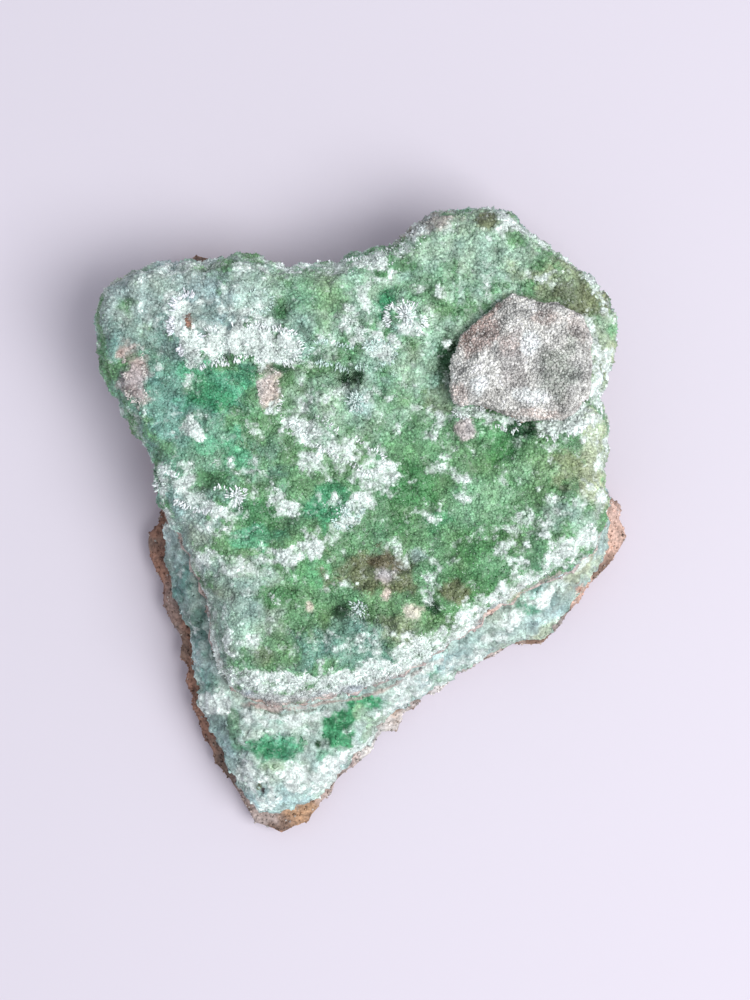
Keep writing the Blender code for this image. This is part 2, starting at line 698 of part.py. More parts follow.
def centre_on_base(objects):
    """Moves every object so that their common box is centred over the origin and stands at height 0."""
    corners = np.array([v.co for made in objects for v in made.data.vertices])
    low, high = corners.min(0), corners.max(0)
    shift = Vector((-(low[0] + high[0]) / 2.0, -(low[1] + high[1]) / 2.0, -low[2]))
    for made in objects:
        made.location = shift


UPPER_LOOP = ragged(smooth_loop(clockwise(UPPER_OUTLINE), DRUSE_PITCH * 0.9), 0.35, 3.0, 81.0)
LOWER_LOOP = ragged(smooth_loop(clockwise(LOWER_OUTLINE), DRUSE_PITCH * 1.1), 0.35, 3.4, 82.0)
HOST_LOOP = ragged(smooth_loop(clockwise(HOST_OUTLINE), ROCK_PITCH * 0.55), 0.4, 4.0, 83.0)
BLOCK_LOOP = smooth_loop(clockwise(BLOCK_OUTLINE), DRUSE_PITCH * 0.9)


def main():
    for old in list(bpy.data.objects):
        bpy.data.objects.remove(old)
    green = stone_material("smithsonite", (0.22, 0.52, 0.36), 0.35)
    pale_green = stone_material("smithsonite_ledge", (0.42, 0.66, 0.56), 0.4)
    brown = stone_material("host_rock", (0.42, 0.30, 0.22), 0.9)
    pink = stone_material("parting_rock", (0.55, 0.42, 0.38), 0.9)
    grey = stone_material("block_rock", (0.52, 0.47, 0.45), 0.85)
    pieces = [
        host_rock(brown),
        lower_crust(pale_green),
        parting(pink),
        upper_crust(green),
        rock_block(grey),
    ]
    centre_on_base(pieces)


main()
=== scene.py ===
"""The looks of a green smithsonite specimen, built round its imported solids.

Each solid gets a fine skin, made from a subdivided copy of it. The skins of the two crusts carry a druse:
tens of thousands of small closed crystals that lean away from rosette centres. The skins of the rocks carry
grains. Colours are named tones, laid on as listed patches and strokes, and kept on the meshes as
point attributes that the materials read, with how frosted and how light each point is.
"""

import logging
import math
from dataclasses import dataclass, field
from enum import Enum
from functools import cache

import bmesh
import bpy
import numpy as np
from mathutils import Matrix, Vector


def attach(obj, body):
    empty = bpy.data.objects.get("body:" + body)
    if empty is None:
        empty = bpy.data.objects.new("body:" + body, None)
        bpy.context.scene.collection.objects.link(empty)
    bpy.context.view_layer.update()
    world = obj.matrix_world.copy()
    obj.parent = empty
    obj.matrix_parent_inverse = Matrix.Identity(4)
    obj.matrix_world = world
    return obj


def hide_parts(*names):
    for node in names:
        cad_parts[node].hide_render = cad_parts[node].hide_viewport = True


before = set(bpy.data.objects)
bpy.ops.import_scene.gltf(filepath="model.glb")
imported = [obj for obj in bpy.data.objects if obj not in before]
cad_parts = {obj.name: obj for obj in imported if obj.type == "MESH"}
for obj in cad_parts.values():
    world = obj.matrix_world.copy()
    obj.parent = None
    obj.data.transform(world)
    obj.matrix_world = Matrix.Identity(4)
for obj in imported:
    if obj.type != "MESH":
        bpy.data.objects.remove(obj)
log = logging.getLogger("smithsonite")

MM = 0.001

# Large primes that mix a cube's place into one number
CELL_KEYS = np.array([73856093, 19349663, 83492791])

# The shares of red, green and blue in a grey
GREY_SHARES = (0.25, 0.6, 0.15)

# The golden angle in radians, by which each crystal of a spray is turned on from the last
GOLDEN_TURN = 2.39996

# Layers of noise: each one's share, size and shift in space, in metres
EDGE_LAYERS = ((0.55, 3.4 * MM, 0.0), (0.45, 1.5 * MM, 1.0), (0.20, 0.7 * MM, 2.0))
VALUE_LAYERS = ((0.16, 3.1 * MM, 8.0), (0.20, 1.2 * MM, 9.0))
HUE_LAYERS = ((0.16, 4.5 * MM, 11.0), (0.10, 1.9 * MM, 12.0))
FROST_EDGE_LAYERS = ((0.60, 2.4 * MM, 2.0), (0.45, 1.1 * MM, 3.0))
FROST_LAYERS = ((0.50, 2.9 * MM, 4.0), (0.52, 1.35 * MM, 0.0), (0.26, 0.7 * MM, 6.0))
SPARKLE_LAYERS = ((1.0, 0.75 * MM, 14.0), (1.0, 0.40 * MM, 15.0))

# What is added to a crust's seed for each kind of random draw
SPRAY_TURNS, SPRAY_DRAWS, TUFT_DRAWS, TUFT_FEET, TUFT_TURNS = 50, 60, 70, 71, 80

BODY = "root"
PIECE_LIMIT = 190000


class Tone(Enum):
    """The specimen's colours, as they look in full light, in 0 to 255."""

    FROST = (240, 247, 246)
    MINT_FROST = (231, 243, 237)
    LILAC_FROST = (238, 240, 246)
    LILAC_GREY = (200, 202, 203)
    CREAM = (226, 222, 205)
    SAGE = (170, 194, 187)
    GREY_TEAL = (134, 168, 160)
    TEAL = (120, 172, 156)
    BLUE_TEAL = (98, 146, 134)
    AQUA = (186, 215, 206)
    MINT = (170, 206, 180)
    PALE_LEAF = (136, 188, 142)
    LEAF = (108, 164, 112)
    DEEP_LEAF = (74, 146, 84)
    EMERALD = (92, 182, 138)
    VIVID = (66, 166, 112)
    # Painted shade: the dark green of pits and of the shadows under overhanging edges
    SHADE_GREEN = (30, 82, 44)
    LIME = (110, 186, 122)
    YELLOW_MINT = (188, 202, 168)
    OLIVE = (116, 126, 86)
    OLIVE_MINT = (148, 168, 128)
    UMBER = (96, 80, 52)
    PINK_TAN = (212, 202, 195)
    RUST = (154, 112, 92)
    GOLDEN = (180, 142, 108)
    BARK = (128, 104, 90)
    CLAY = (210, 176, 160)
    ASH = (210, 210, 205)
    GRANITE = (172, 168, 166)
    STONE_GREEN = (168, 176, 164)
    DARK_GRAIN = (78, 70, 66)
    PINK_ASH = (190, 173, 166)

    def linear(self) -> np.ndarray:
        """The tone as linear red, green and blue."""
        share = np.array(self.value) / 255.0
        return np.where(share <= 0.04045, share / 12.92, ((share + 0.055) / 1.055) ** 2.4)


class Form(Enum):
    """The shapes of single crystals and grains."""

    BLADE = "blade"
    GRAIN = "grain"
    PRISM = "prism"
    RHOMB = "rhomb"


def smooth_step(value: np.ndarray) -> np.ndarray:
    """0 below 0, 1 above 1, and an S curve between."""
    value = np.clip(value, 0.0, 1.0)
    return value * value * (3.0 - 2.0 * value)


def unit(vectors: np.ndarray) -> np.ndarray:
    """The vectors, each brought to length 1."""
    return vectors / np.maximum(np.linalg.norm(vectors, axis=1, keepdims=True), 1e-12)


@dataclass(frozen=True)
class Plan:
    """The view from above: how the photograph's frame lies over the specimen.

    The camera looks straight down at the point (axis_x, axis_y), which the frame's middle shows. At the
    floor one pixel is pixel metres wide, and at a height z it is 1 - z / camera_height times that.
    """

    pixel: float = 0.18 * MM
    camera_height: float = 0.400
    axis_x: float = 1.3374 * MM
    axis_y: float = 4.7665 * MM
    middle_x: float = 375.0
    middle_y: float = 500.0
    sensor: float = 36.0

    def pixels(self, points: np.ndarray) -> np.ndarray:
        """Where points show in the frame.

        Args:
            points: positions in metres, one row each.

        Returns:
            The pixel across and the pixel down of each.
        """
        scale = self.pixel * (1.0 - points[:, 2] / self.camera_height)
        across = self.middle_x + (points[:, 0] - self.axis_x) / scale
        down = self.middle_y - (points[:, 1] - self.axis_y) / scale
        return np.stack([across, down], axis=1)

    def place(self, across: float, down: float, height: float) -> tuple[float, float]:
        """Where something lies that shows at a pixel.

        Args:
            across: the pixel across.
            down: the pixel down.
            height: how high it lies, in metres.

        Returns:
            Its x and y in metres.
        """
        scale = self.pixel * (1.0 - height / self.camera_height)
        return (
            self.axis_x + (across - self.middle_x) * scale,
            self.axis_y - (down - self.middle_y) * scale,
        )

    def lens(self) -> float:
        """The focal length in millimetres that makes the frame 1000 pixels tall at the floor."""
        return self.sensor * self.camera_height / (2.0 * self.middle_y * self.pixel)


class Noise:
    """Smooth random values in space."""

    def __init__(self, seed: int) -> None:
        """Fills the table of random values from a seed."""
        self.table = np.random.default_rng(seed).uniform(-1.0, 1.0, 4096)

    @staticmethod
    def index(cell: np.ndarray) -> np.ndarray:
        """A large whole number for each cube of space, which picks its random values."""
        key = cell * CELL_KEYS
        return key[:, 0] ^ key[:, 1] ^ key[:, 2]

    def at(self, points: np.ndarray, size: float) -> np.ndarray:
        """Noise of one size.

        Space is cut into cubes of this size, each corner has a random value, and the value at a point is
        the mix of its cube's eight corners, weighted by the S curve of its place along each edge.

        Args:
            points: positions in metres, one row each.
            size: the cubes' edge in metres.

        Returns:
            A value from -1 to 1 for each point.
        """
        scaled = points / size
        cell = np.floor(scaled).astype(np.int64)
        share = smooth_step(scaled - cell)
        total = np.zeros(len(points))
        for corner in np.ndindex(2, 2, 2):
            value = self.table[self.index(cell + corner) % len(self.table)]
            weight = np.where(np.array(corner) == 1, share, 1.0 - share).prod(axis=1)
            total += value * weight
        return total

    def cells(self, points: np.ndarray, size: float) -> tuple[np.ndarray, np.ndarray, np.ndarray]:
        """The nearest of scattered middles.

        Space is cut into cubes of this size, and each holds one middle, moved from the cube's own middle by
        up to 0.45 of its edge at random. The middles of the 27 cubes round a point are tried in turn.

        Args:
            points: positions in metres, one row each.
            size: the cubes' edge in metres.

        Returns:
            The distance to the nearest middle in cube edges, the way from it in cube edges, and four random
            values from -1 to 1 that belong to that middle.
        """
        scaled = points / size
        cell = np.floor(scaled).astype(np.int64)
        nearest = np.full(len(points), np.inf)
        away = np.zeros_like(points)
        owner = np.zeros(len(points), np.int64)
        spots = len(self.table)
        for step in np.ndindex(3, 3, 3):
            home = cell + np.array(step) - 1
            index = self.index(home)
            moved = np.stack([self.table[(index + k) % spots] for k in (0, 1, 2)], axis=1)
            gap = scaled - home - 0.5 - 0.45 * moved
            far = np.linalg.norm(gap, axis=1)
            nearer = far < nearest
            nearest[nearer] = far[nearer]
            away[nearer] = gap[nearer]
            owner[nearer] = index[nearer]
        marks = np.stack([self.table[(owner + k) % spots] for k in (11, 12, 13, 14)], axis=1)
        return nearest, away, marks

    def domes(self, points: np.ndarray, size: float) -> np.ndarray:
        """Round domes that meet in sharp valleys: the root of 1 less the squared distance over 0.9."""
        nearest, _, _ = self.cells(points, size)
        return np.sqrt(np.clip(1.0 - (nearest / 0.9) ** 2, 0.0, 1.0))

    def blocks(self, points: np.ndarray, size: float) -> tuple[np.ndarray, np.ndarray]:
        """Flat-topped blocks, each tilted its own way.

        A block's height is a random value plus a random slope times the way from its middle.

        Args:
            points: positions in metres, one row each.
            size: the blocks' size in metres.

        Returns:
            The height from about -1 to 1, and one random value from -1 to 1 for each block.
        """
        _, away, marks = self.cells(points, size)
        return 0.5 * marks[:, 3] + 1.1 * (away * marks[:, :3]).sum(1), marks[:, 0]

    def mixed(self, points: np.ndarray, layers: tuple[tuple[float, float, float], ...]) -> np.ndarray:
        """Layers of noise added up, each with its own share, size and shift."""
        return sum(share * self.at(points + shift, size) for share, size, shift in layers)

    def layered(self, points: np.ndarray, size: float) -> np.ndarray:
        """Noise of this size, with half as much at 0.45 of the size and a quarter at 0.2 of it."""
        total = self.at(points, size) + 0.5 * self.at(points + 7.0 * size, 0.45 * size)
        return (total + 0.25 * self.at(points - 5.0 * size, 0.2 * size)) / 1.3


@dataclass(frozen=True)
class Zone:
    """A soft ellipse: its middle and half sizes in the frame's pixels, its strength and turn in degrees."""

    across: float
    down: float
    wide: float
    tall: float
    strength: float = 1.0
    turn: float = 0.0

    def cover(self, spots: np.ndarray, ragged: np.ndarray) -> np.ndarray:
        """How strongly the zone covers places: the S curve of 1.35 less their half sizes away, over 0.7.

        Args:
            spots: places in the frame's pixels, one row each.
            ragged: noise for each place, which frays the edge.

        Returns:
            The cover at each place, from 0 to 1.
        """
        angle = math.radians(self.turn)
        away = spots - (self.across, self.down)
        along = (away[:, 0] * math.cos(angle) + away[:, 1] * math.sin(angle)) / self.wide
        aside = (away[:, 1] * math.cos(angle) - away[:, 0] * math.sin(angle)) / self.tall
        reach = np.hypot(along, aside) + ragged
        return np.minimum(1.0, self.strength * smooth_step((1.35 - reach) / 0.7))


@dataclass(frozen=True)
class Patch(Zone):
    """A zone of one tone."""

    tone: Tone = Tone.LEAF


@dataclass(frozen=True)
class Streak:
    """A soft band along a line of points in the frame's pixels, with its half width and strength."""

    path: tuple[tuple[float, float], ...]
    half: float
    strength: float = 1.0

    def away(self, spots: np.ndarray) -> np.ndarray:
        """The way to places from the line's nearest points.

        Each place is dropped square onto every stretch of the line, and the shortest way is kept.

        Args:
            spots: places in the frame's pixels, one row each.

        Returns:
            The way across and down to each, in pixels.
        """
        start = np.array(self.path[:-1])
        run = np.array(self.path[1:]) - start
        back = spots[:, None, :] - start[None, :, :]
        share = np.clip((back * run).sum(2) / np.maximum((run * run).sum(1), 1e-9), 0.0, 1.0)
        gaps = back - share[:, :, None] * run
        nearest = np.linalg.norm(gaps, axis=2).argmin(1)
        return gaps[np.arange(len(spots)), nearest]

    def cover(self, spots: np.ndarray, ragged: np.ndarray) -> np.ndarray:
        """How strongly the band covers spots: the S curve of 1.4 less their half widths away, over 0.8."""
        gap = np.linalg.norm(self.away(spots), axis=1)
        return self.strength * smooth_step((1.4 - gap / self.half - ragged) / 0.8)


@dataclass(frozen=True)
class Stroke(Streak):
    """A streak of one tone."""

    tone: Tone = Tone.LEAF


@dataclass(frozen=True)
class Tuft:
    """A fringe of fine needles round a streak, which point outwards past its edges.

    The fringe is a band where the way to the line, in half widths, is close to edge. Needles are up to 1.3
    times length millimetres long, and widths are in millimetres.
    """

    line: Streak
    needles: int
    tone: Tone = Tone.FROST
    length: float = 1.0
    edge: float = 0.88
    band: float = 0.14
    widths: tuple[float, float] = (0.24, 0.46)


@dataclass(frozen=True)
class Paint:
    """Colour and frost laid over a surface from above.

    Patches and then strokes are laid one over the other, so that a later one covers an earlier one. Frost is
    the strongest of the frost streaks, broken up by noise, less what the bare places take from it.

    Calm is how far the colours are drawn towards grey. Side holds the tones of the broken, steep sides, laid
    on before the patches where side_under is set, and else after them. Coarse tells the druse where its
    crystals are large and few, and needles where blades stand.
    """

    ground: Tone
    patches: tuple[Patch, ...]
    strokes: tuple[Stroke, ...] = ()
    bare: tuple[Zone | Streak, ...] = ()
    frost: tuple[Streak, ...] = ()
    frost_ground: float = 0.3
    frost_start: float = 0.38
    hue_noise: float = 0.5
    value_noise: float = 1.0
    sparkle_noise: float = 0.20
    calm: float = 0.1
    side_under: bool = False
    coarse: tuple[Zone, ...] = ()
    coarse_ground: float = 0.0
    needles: tuple[Streak, ...] = ()
    side: tuple[Tone, ...] = ()
    plan: Plan = Plan()
    noise: Noise = field(default_factory=lambda: Noise(5))

    def tones(self, points: np.ndarray, normals: np.ndarray) -> np.ndarray:
        """The linear colour at each point of a surface.

        Args:
            points: positions in metres.
            normals: outward unit normals, which tell a steep side from the top.

        Returns:
            One row of red, green and blue for each point.
        """
        spots = self.plan.pixels(points)
        ragged = self.noise.mixed(points, EDGE_LAYERS)
        colour = np.tile(self.ground.linear(), (len(points), 1))
        if self.side and self.side_under:
            colour = self.with_side(colour, points, normals)
        for patch in (*self.patches, *self.strokes):
            cover = patch.cover(spots, ragged)[:, None]
            colour = colour + (patch.tone.linear() - colour) * cover
        if self.side and not self.side_under:
            colour = self.with_side(colour, points, normals)
        value = self.value_noise * self.noise.mixed(points, VALUE_LAYERS)
        warm = self.hue_noise * self.noise.mixed(points, HUE_LAYERS)
        shift = np.stack([1.0 + value + warm, 1.0 + value, 1.0 + value - warm], axis=1)
        grey = (colour * GREY_SHARES).sum(1, keepdims=True)
        return (colour + (grey - colour) * self.calm) * np.clip(shift, 0.4, 1.7)

    def with_side(self, colour: np.ndarray, points: np.ndarray, normals: np.ndarray) -> np.ndarray:
        """The colours with the broken side's tones laid on where the surface is steep."""
        steep = smooth_step((0.45 - normals[:, 2]) / 0.5)[:, None]
        return colour + (self.side_tones(points) - colour) * steep

    def side_tones(self, points: np.ndarray) -> np.ndarray:
        """The colour of a broken side: its tones in turn, chosen by noise that is flattened into bands.

        Args:
            points: positions in metres.

        Returns:
            One row of red, green and blue for each point.
        """
        bands = points * np.array([1.0, 1.0, 2.6])
        pick = 0.5 + 0.75 * self.noise.layered(bands + 3.0, 5.0 * MM)
        steps = np.linspace(0.0, 1.0, len(self.side))
        table = np.array([tone.linear() for tone in self.side])
        return np.stack([np.interp(pick, steps, table[:, k]) for k in range(3)], axis=1)

    def frosting(self, points: np.ndarray, raised: np.ndarray) -> np.ndarray:
        """How frosted each point is, from 0 for glassy green to 1 for white.

        The level is that of the strongest streak. Noise is added to it, less of it where the level is high,
        and the S curve of the sum less frost_start is the frost. The bare places take their share of it.

        Args:
            points: positions in metres.
            raised: how high each point stands on its clump, about -1 to 1. More frost grows where it is high.

        Returns:
            The frost of each point.
        """
        spots = self.plan.pixels(points)
        ragged = self.noise.mixed(points, FROST_EDGE_LAYERS)
        level = strongest(self.frost, spots, ragged, self.frost_ground)
        broken = self.noise.mixed(points, FROST_LAYERS) + 0.18 * raised
        broken *= 1.1 - 0.6 * np.minimum(level, 1.2)
        frost = smooth_step(level + broken - self.frost_start)
        return frost * (1.0 - strongest(self.bare, spots, ragged, 0.0))

    def sparkle(self, points: np.ndarray) -> np.ndarray:
        """Fine light and dark that leaves the hue alone: 1 plus a share of fine noise."""
        return 1.0 + self.sparkle_noise * self.noise.mixed(points, SPARKLE_LAYERS)


def strongest(
    areas: tuple[Zone | Streak, ...], spots: np.ndarray, ragged: np.ndarray, ground: float
) -> np.ndarray:
    """The strongest cover of several zones or streaks.

    Args:
        areas: the zones and streaks.
        spots: places in the frame's pixels, one row each.
        ragged: noise for each place, which frays the areas' edges.
        ground: the least that is given back.

    Returns:
        The cover at each place.
    """
    level = np.full(len(spots), ground)
    for area in areas:
        level = np.maximum(level, area.cover(spots, ragged))
    return level


def zones(*rows: tuple[float, ...]) -> tuple[Zone, ...]:
    """Zones, from rows of their numbers."""
    return tuple(Zone(*row) for row in rows)


def patches(*rows: tuple) -> tuple[Patch, ...]:
    """Patches, from rows of a tone and then a zone's numbers."""
    return tuple(Patch(*row[1:], tone=row[0]) for row in rows)


def streaks(*rows: tuple[float, ...]) -> tuple[Streak, ...]:
    """Streaks, from rows of a half width, a strength and then the line's places, across and down in turn."""
    return tuple(Streak(tuple(zip(row[2::2], row[3::2])), row[0], row[1]) for row in rows)


def strokes(*rows: tuple) -> tuple[Stroke, ...]:
    """Strokes, from rows of a tone and then a streak's numbers."""
    return tuple(Stroke(tuple(zip(row[3::2], row[4::2])), row[1], row[2], tone=row[0]) for row in rows)


@dataclass
class Surface:
    """Points in metres and triangles, with values carried by the points."""

    points: np.ndarray
    corners: np.ndarray
    values: dict[str, np.ndarray] = field(default_factory=dict)

    def facings(self) -> tuple[np.ndarray, np.ndarray]:
        """Each triangle's facing, from the cross product of two of its edges.

        Returns:
            The areas, which are half the products' lengths, and the unit normals.
        """
        first, second, third = (self.points[self.corners[:, k]] for k in range(3))
        cross = np.cross(second - first, third - first)
        return 0.5 * np.linalg.norm(cross, axis=1), unit(cross)

    def normals(self) -> np.ndarray:
        """The normals at the points.

        Returns:
            The sum of each point's triangles' normals, weighted by their areas, brought to length 1.
        """
        areas, facing = self.facings()
        weighted = facing * areas[:, None]
        total = np.zeros_like(self.points)
        for axis in range(3):
            share = np.repeat(weighted[:, axis], 3)
            total[:, axis] = np.bincount(self.corners.ravel(), share, len(self.points))
        return unit(total)

    def scattered(self, count: int, keep: np.ndarray, seed: int) -> tuple[np.ndarray, np.ndarray]:
        """Random places spread evenly over the surface.

        The triangles' areas times keep are laid end to end, that length is cut into equal parts, and each
        part gives the triangle at a random mark in it. A place has random weights of the triangle's three
        corners. The normal is the corners' normals with the same weights.

        Args:
            count: how many places.
            keep: a share from 0 to 1 for each triangle.
            seed: the seed of the random draws.

        Returns:
            The places, and the unit normals there.
        """
        rng = np.random.default_rng(seed)
        areas, _ = self.facings()
        reach = np.cumsum(areas * keep)
        marks = (np.arange(count) + rng.uniform(0.0, 1.0, count)) / count
        picked = np.searchsorted(reach, marks * reach[-1])
        weights = rng.dirichlet((1.0, 1.0, 1.0), count)[:, :, None]
        corner = self.corners[picked]
        normals = self.normals()
        return (self.points[corner] * weights).sum(1), unit((normals[corner] * weights).sum(1))


def smoothed_copy(node: str, levels: int, rounded: bool = True) -> Surface:
    """A solid's surface, merged and subdivided.

    Args:
        node: the solid's name.
        levels: how many times the surface is subdivided.
        rounded: whether its edges are rounded, or only its faces cut smaller.

    Returns:
        The subdivided surface as points and triangles.
    """
    shell = bmesh.new()
    shell.from_mesh(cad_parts[node].data)
    bmesh.ops.remove_doubles(shell, verts=shell.verts, dist=0.001 * MM)
    mesh = bpy.data.meshes.new(node + "_copy")
    shell.to_mesh(mesh)
    shell.free()
    holder = bpy.data.objects.new(node + "_copy", mesh)
    bpy.context.scene.collection.objects.link(holder)
    finer = holder.modifiers.new("finer", "SUBSURF")
    finer.subdivision_type = "CATMULL_CLARK" if rounded else "SIMPLE"
    finer.levels = levels
    finer.render_levels = levels
    evaluated = holder.evaluated_get(bpy.context.evaluated_depsgraph_get())
    made = evaluated.to_mesh()
    made.calc_loop_triangles()
    points = np.empty(3 * len(made.vertices), np.float32)
    made.vertices.foreach_get("co", points)
    corners = np.empty(3 * len(made.loop_triangles), np.int32)
    made.loop_triangles.foreach_get("vertices", corners)
    evaluated.to_mesh_clear()
    bpy.data.objects.remove(holder)
    bpy.data.meshes.remove(mesh)
    return Surface(points.reshape(-1, 3).astype(float), corners.reshape(-1, 3))


def make_piece(
    name: str, surface: Surface, material: bpy.types.Material, smooth: bool
) -> bpy.types.Object:
    """Puts a surface into the scene as a piece of the specimen.

    Args:
        name: the piece's name.
        surface: its points, triangles and point values.
        material: its finish.
        smooth: whether its faces are shaded smooth.

    Returns:
        The new object.
    """
    mesh = bpy.data.meshes.new(name)
    count = len(surface.corners)
    mesh.vertices.add(len(surface.points))
    mesh.vertices.foreach_set("co", surface.points.astype(np.float32).ravel())
    mesh.loops.add(3 * count)
    mesh.loops.foreach_set("vertex_index", surface.corners.astype(np.int32).ravel())
    mesh.polygons.add(count)
    mesh.polygons.foreach_set("loop_start", np.arange(0, 3 * count, 3, dtype=np.int32))
    mesh.update(calc_edges=True)
    for key, value in surface.values.items():
        if value.ndim == 2:
            attribute = mesh.attributes.new(key, "FLOAT_COLOR", "POINT")
            full = np.concatenate([value, np.ones((len(value), 1))], axis=1)
            attribute.data.foreach_set("color", full.astype(np.float32).ravel())
        else:
            attribute = mesh.attributes.new(key, "FLOAT", "POINT")
            attribute.data.foreach_set("value", value.astype(np.float32))
    mesh.validate()
    if smooth:
        mesh.shade_smooth()
    mesh.materials.append(material)
    piece = bpy.data.objects.new(name, mesh)
    bpy.context.scene.collection.objects.link(piece)
    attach(piece, BODY)
    log.info("%s: %d triangles", name, count)
    return piece


@dataclass(frozen=True)
class Stamp:
    """One crystal's shape, stamped many times.

    Its points lie round a z axis that runs from the foot at 0 to the tip at 1, and below 0 where it is
    sunk. Across, they lie within half a width of the axis.
    """

    points: np.ndarray
    corners: np.ndarray

    @staticmethod
    def of(form: Form) -> "Stamp":
        """The stamp of a form.

        A blade is a foot, one ring of four points at 0.66 of the height, flattened, and a tip. A grain is a
        low pyramid whose ring of four is sunk a little. A prism is a foot, two rings of six and a tip.
        A rhomb is a cube stood on its corner: an apex, three upper and three lower points, and a foot.

        Args:
            form: which of the shapes.

        Returns:
            Its points and triangles, closed, with every face pointing outwards.
        """
        if form is Form.BLADE:
            rings, sides, foot, flat = [(0.66, 1.0)], 4, -0.5, 0.7
        elif form is Form.GRAIN:
            rings, sides, foot, flat = [(-0.12, 1.0)], 4, -0.6, 0.8
        elif form is Form.PRISM:
            rings, sides, foot, flat = [(0.0, 0.7), (0.8, 1.0)], 6, -0.3, 0.8
        else:
            upper = [(0.5 * math.cos(a), 0.5 * math.sin(a), 0.55) for a in (0.0, 2.0944, 4.1888)]
            lower = [(0.5 * math.cos(a), 0.5 * math.sin(a), 0.05) for a in (1.0472, 3.1416, 5.2360)]
            points = np.array([(0, 0, -0.4), *upper, *lower, (0, 0, 1.0)])
            quads = [(7, 1, 4, 2), (7, 2, 5, 3), (7, 3, 6, 1), (0, 4, 1, 6), (0, 5, 2, 4), (0, 6, 3, 5)]
            corners = [t for a, b, c, d in quads for t in ((a, b, c), (a, c, d))]
            return Stamp(points, np.array(corners))
        turns = 2.0 * np.pi * np.arange(sides) / sides
        points = [(0.0, 0.0, foot)]
        for height, wide in rings:
            points += [
                (0.5 * wide * math.cos(a), 0.5 * wide * flat * math.sin(a), height) for a in turns
            ]
        points.append((0.0, 0.0, 1.0))
        corners = []
        last = len(points) - 1
        for k in range(sides):
            after = (k + 1) % sides
            corners.append((0, 1 + after, 1 + k))
            for ring in range(len(rings) - 1):
                low, high = 1 + ring * sides, 1 + (ring + 1) * sides
                corners.append((low + k, low + after, high + after))
                corners.append((low + k, high + after, high + k))
            top = 1 + (len(rings) - 1) * sides
            corners.append((top + k, top + after, last))
        return Stamp(np.array(points), np.array(corners))


@dataclass
class Growth:
    """Crystals to stamp: where each one stands, which way it points, and how long and wide it is."""

    feet: np.ndarray
    ways: np.ndarray
    lengths: np.ndarray
    widths: np.ndarray
    foot_tones: np.ndarray
    tip_tones: np.ndarray
    frost: np.ndarray
    light: np.ndarray

    def part(self, chosen: np.ndarray) -> "Growth":
        """The chosen ones of the crystals."""
        return Growth(*(column[chosen] for column in vars(self).values()))

    def stamped(self, form: Form, seed: int) -> Surface:
        """Every crystal as closed triangles.

        A stamp's point (u, v, w) goes to foot + side * u * width + other * v * width + way * w * length,
        where side and other are square to the way and turned about it at random. Its colour is the foot's
        tone mixed into the tip's by w to the power 1.3.

        Args:
            form: the crystals' shape.
            seed: the seed of the random turns.

        Returns:
            All the crystals in one surface, with their tone, frost and light.
        """
        stamp = Stamp.of(form)
        count, each = len(self.feet), len(stamp.points)
        helper = np.where(np.abs(self.ways[:, 2:]) < 0.9, [[0.0, 0.0, 1.0]], [[1.0, 0.0, 0.0]])
        side = unit(np.cross(self.ways, helper))
        other = np.cross(self.ways, side)
        turn = np.random.default_rng(seed).uniform(0.0, 2.0 * np.pi, count)[:, None]
        side, other = (
            side * np.cos(turn) + other * np.sin(turn),
            other * np.cos(turn) - side * np.sin(turn),
        )
        u, v, w = (stamp.points[None, :, k, None] for k in range(3))
        wide = self.widths[:, None, None]
        points = self.feet[:, None, :] + side[:, None, :] * u * wide + other[:, None, :] * v * wide
        points = points + self.ways[:, None, :] * w * self.lengths[:, None, None]
        corners = stamp.corners[None, :, :] + each * np.arange(count)[:, None, None]
        share = np.clip(w, 0.0, 1.0) ** 1.3
        tone = self.foot_tones[:, None, :] * (1.0 - share) + self.tip_tones[:, None, :] * share
        values = {
            "tone": tone.reshape(-1, 3),
            "frost": np.repeat(self.frost, each),
            "light": np.repeat(self.light, each),
        }
        return Surface(points.reshape(-1, 3), corners.reshape(-1, 3), values)


class Wiring:
    """A node tree that is being built, with short ways to add and join its nodes."""

    def __init__(self, tree: bpy.types.NodeTree) -> None:
        """Keeps the tree."""
        self.tree = tree

    def add(self, kind: str, values: dict | None = None, operation: str = "") -> bpy.types.Node:
        """Adds a node.

        Args:
            kind: the shader node's kind, such as Math or TexNoise.
            values: the values of its inputs, by name or number.
            operation: what a node for maths works out.

        Returns:
            The new node.
        """
        node = self.tree.nodes.new("ShaderNode" + kind)
        if operation:
            node.operation = operation
        for socket, value in (values or {}).items():
            node.inputs[socket].default_value = value
        return node

    def attribute(self, name: str) -> bpy.types.Node:
        """Adds a node that reads one of the piece's attributes."""
        node = self.add("Attribute")
        node.attribute_name = name
        return node

    def group(self, made: bpy.types.NodeTree, values: dict[str, float]) -> bpy.types.Node:
        """Adds a node group.

        Args:
            made: the group.
            values: the values of its inputs.

        Returns:
            The group's node.
        """
        node = self.add("Group")
        node.node_tree = made
        for socket, value in values.items():
            node.inputs[socket].default_value = value
        return node

    def join(self, *pairs: tuple[bpy.types.NodeSocket, bpy.types.NodeSocket]) -> None:
        """Links the output to the input in each pair."""
        for out, into in pairs:
            self.tree.links.new(out, into)


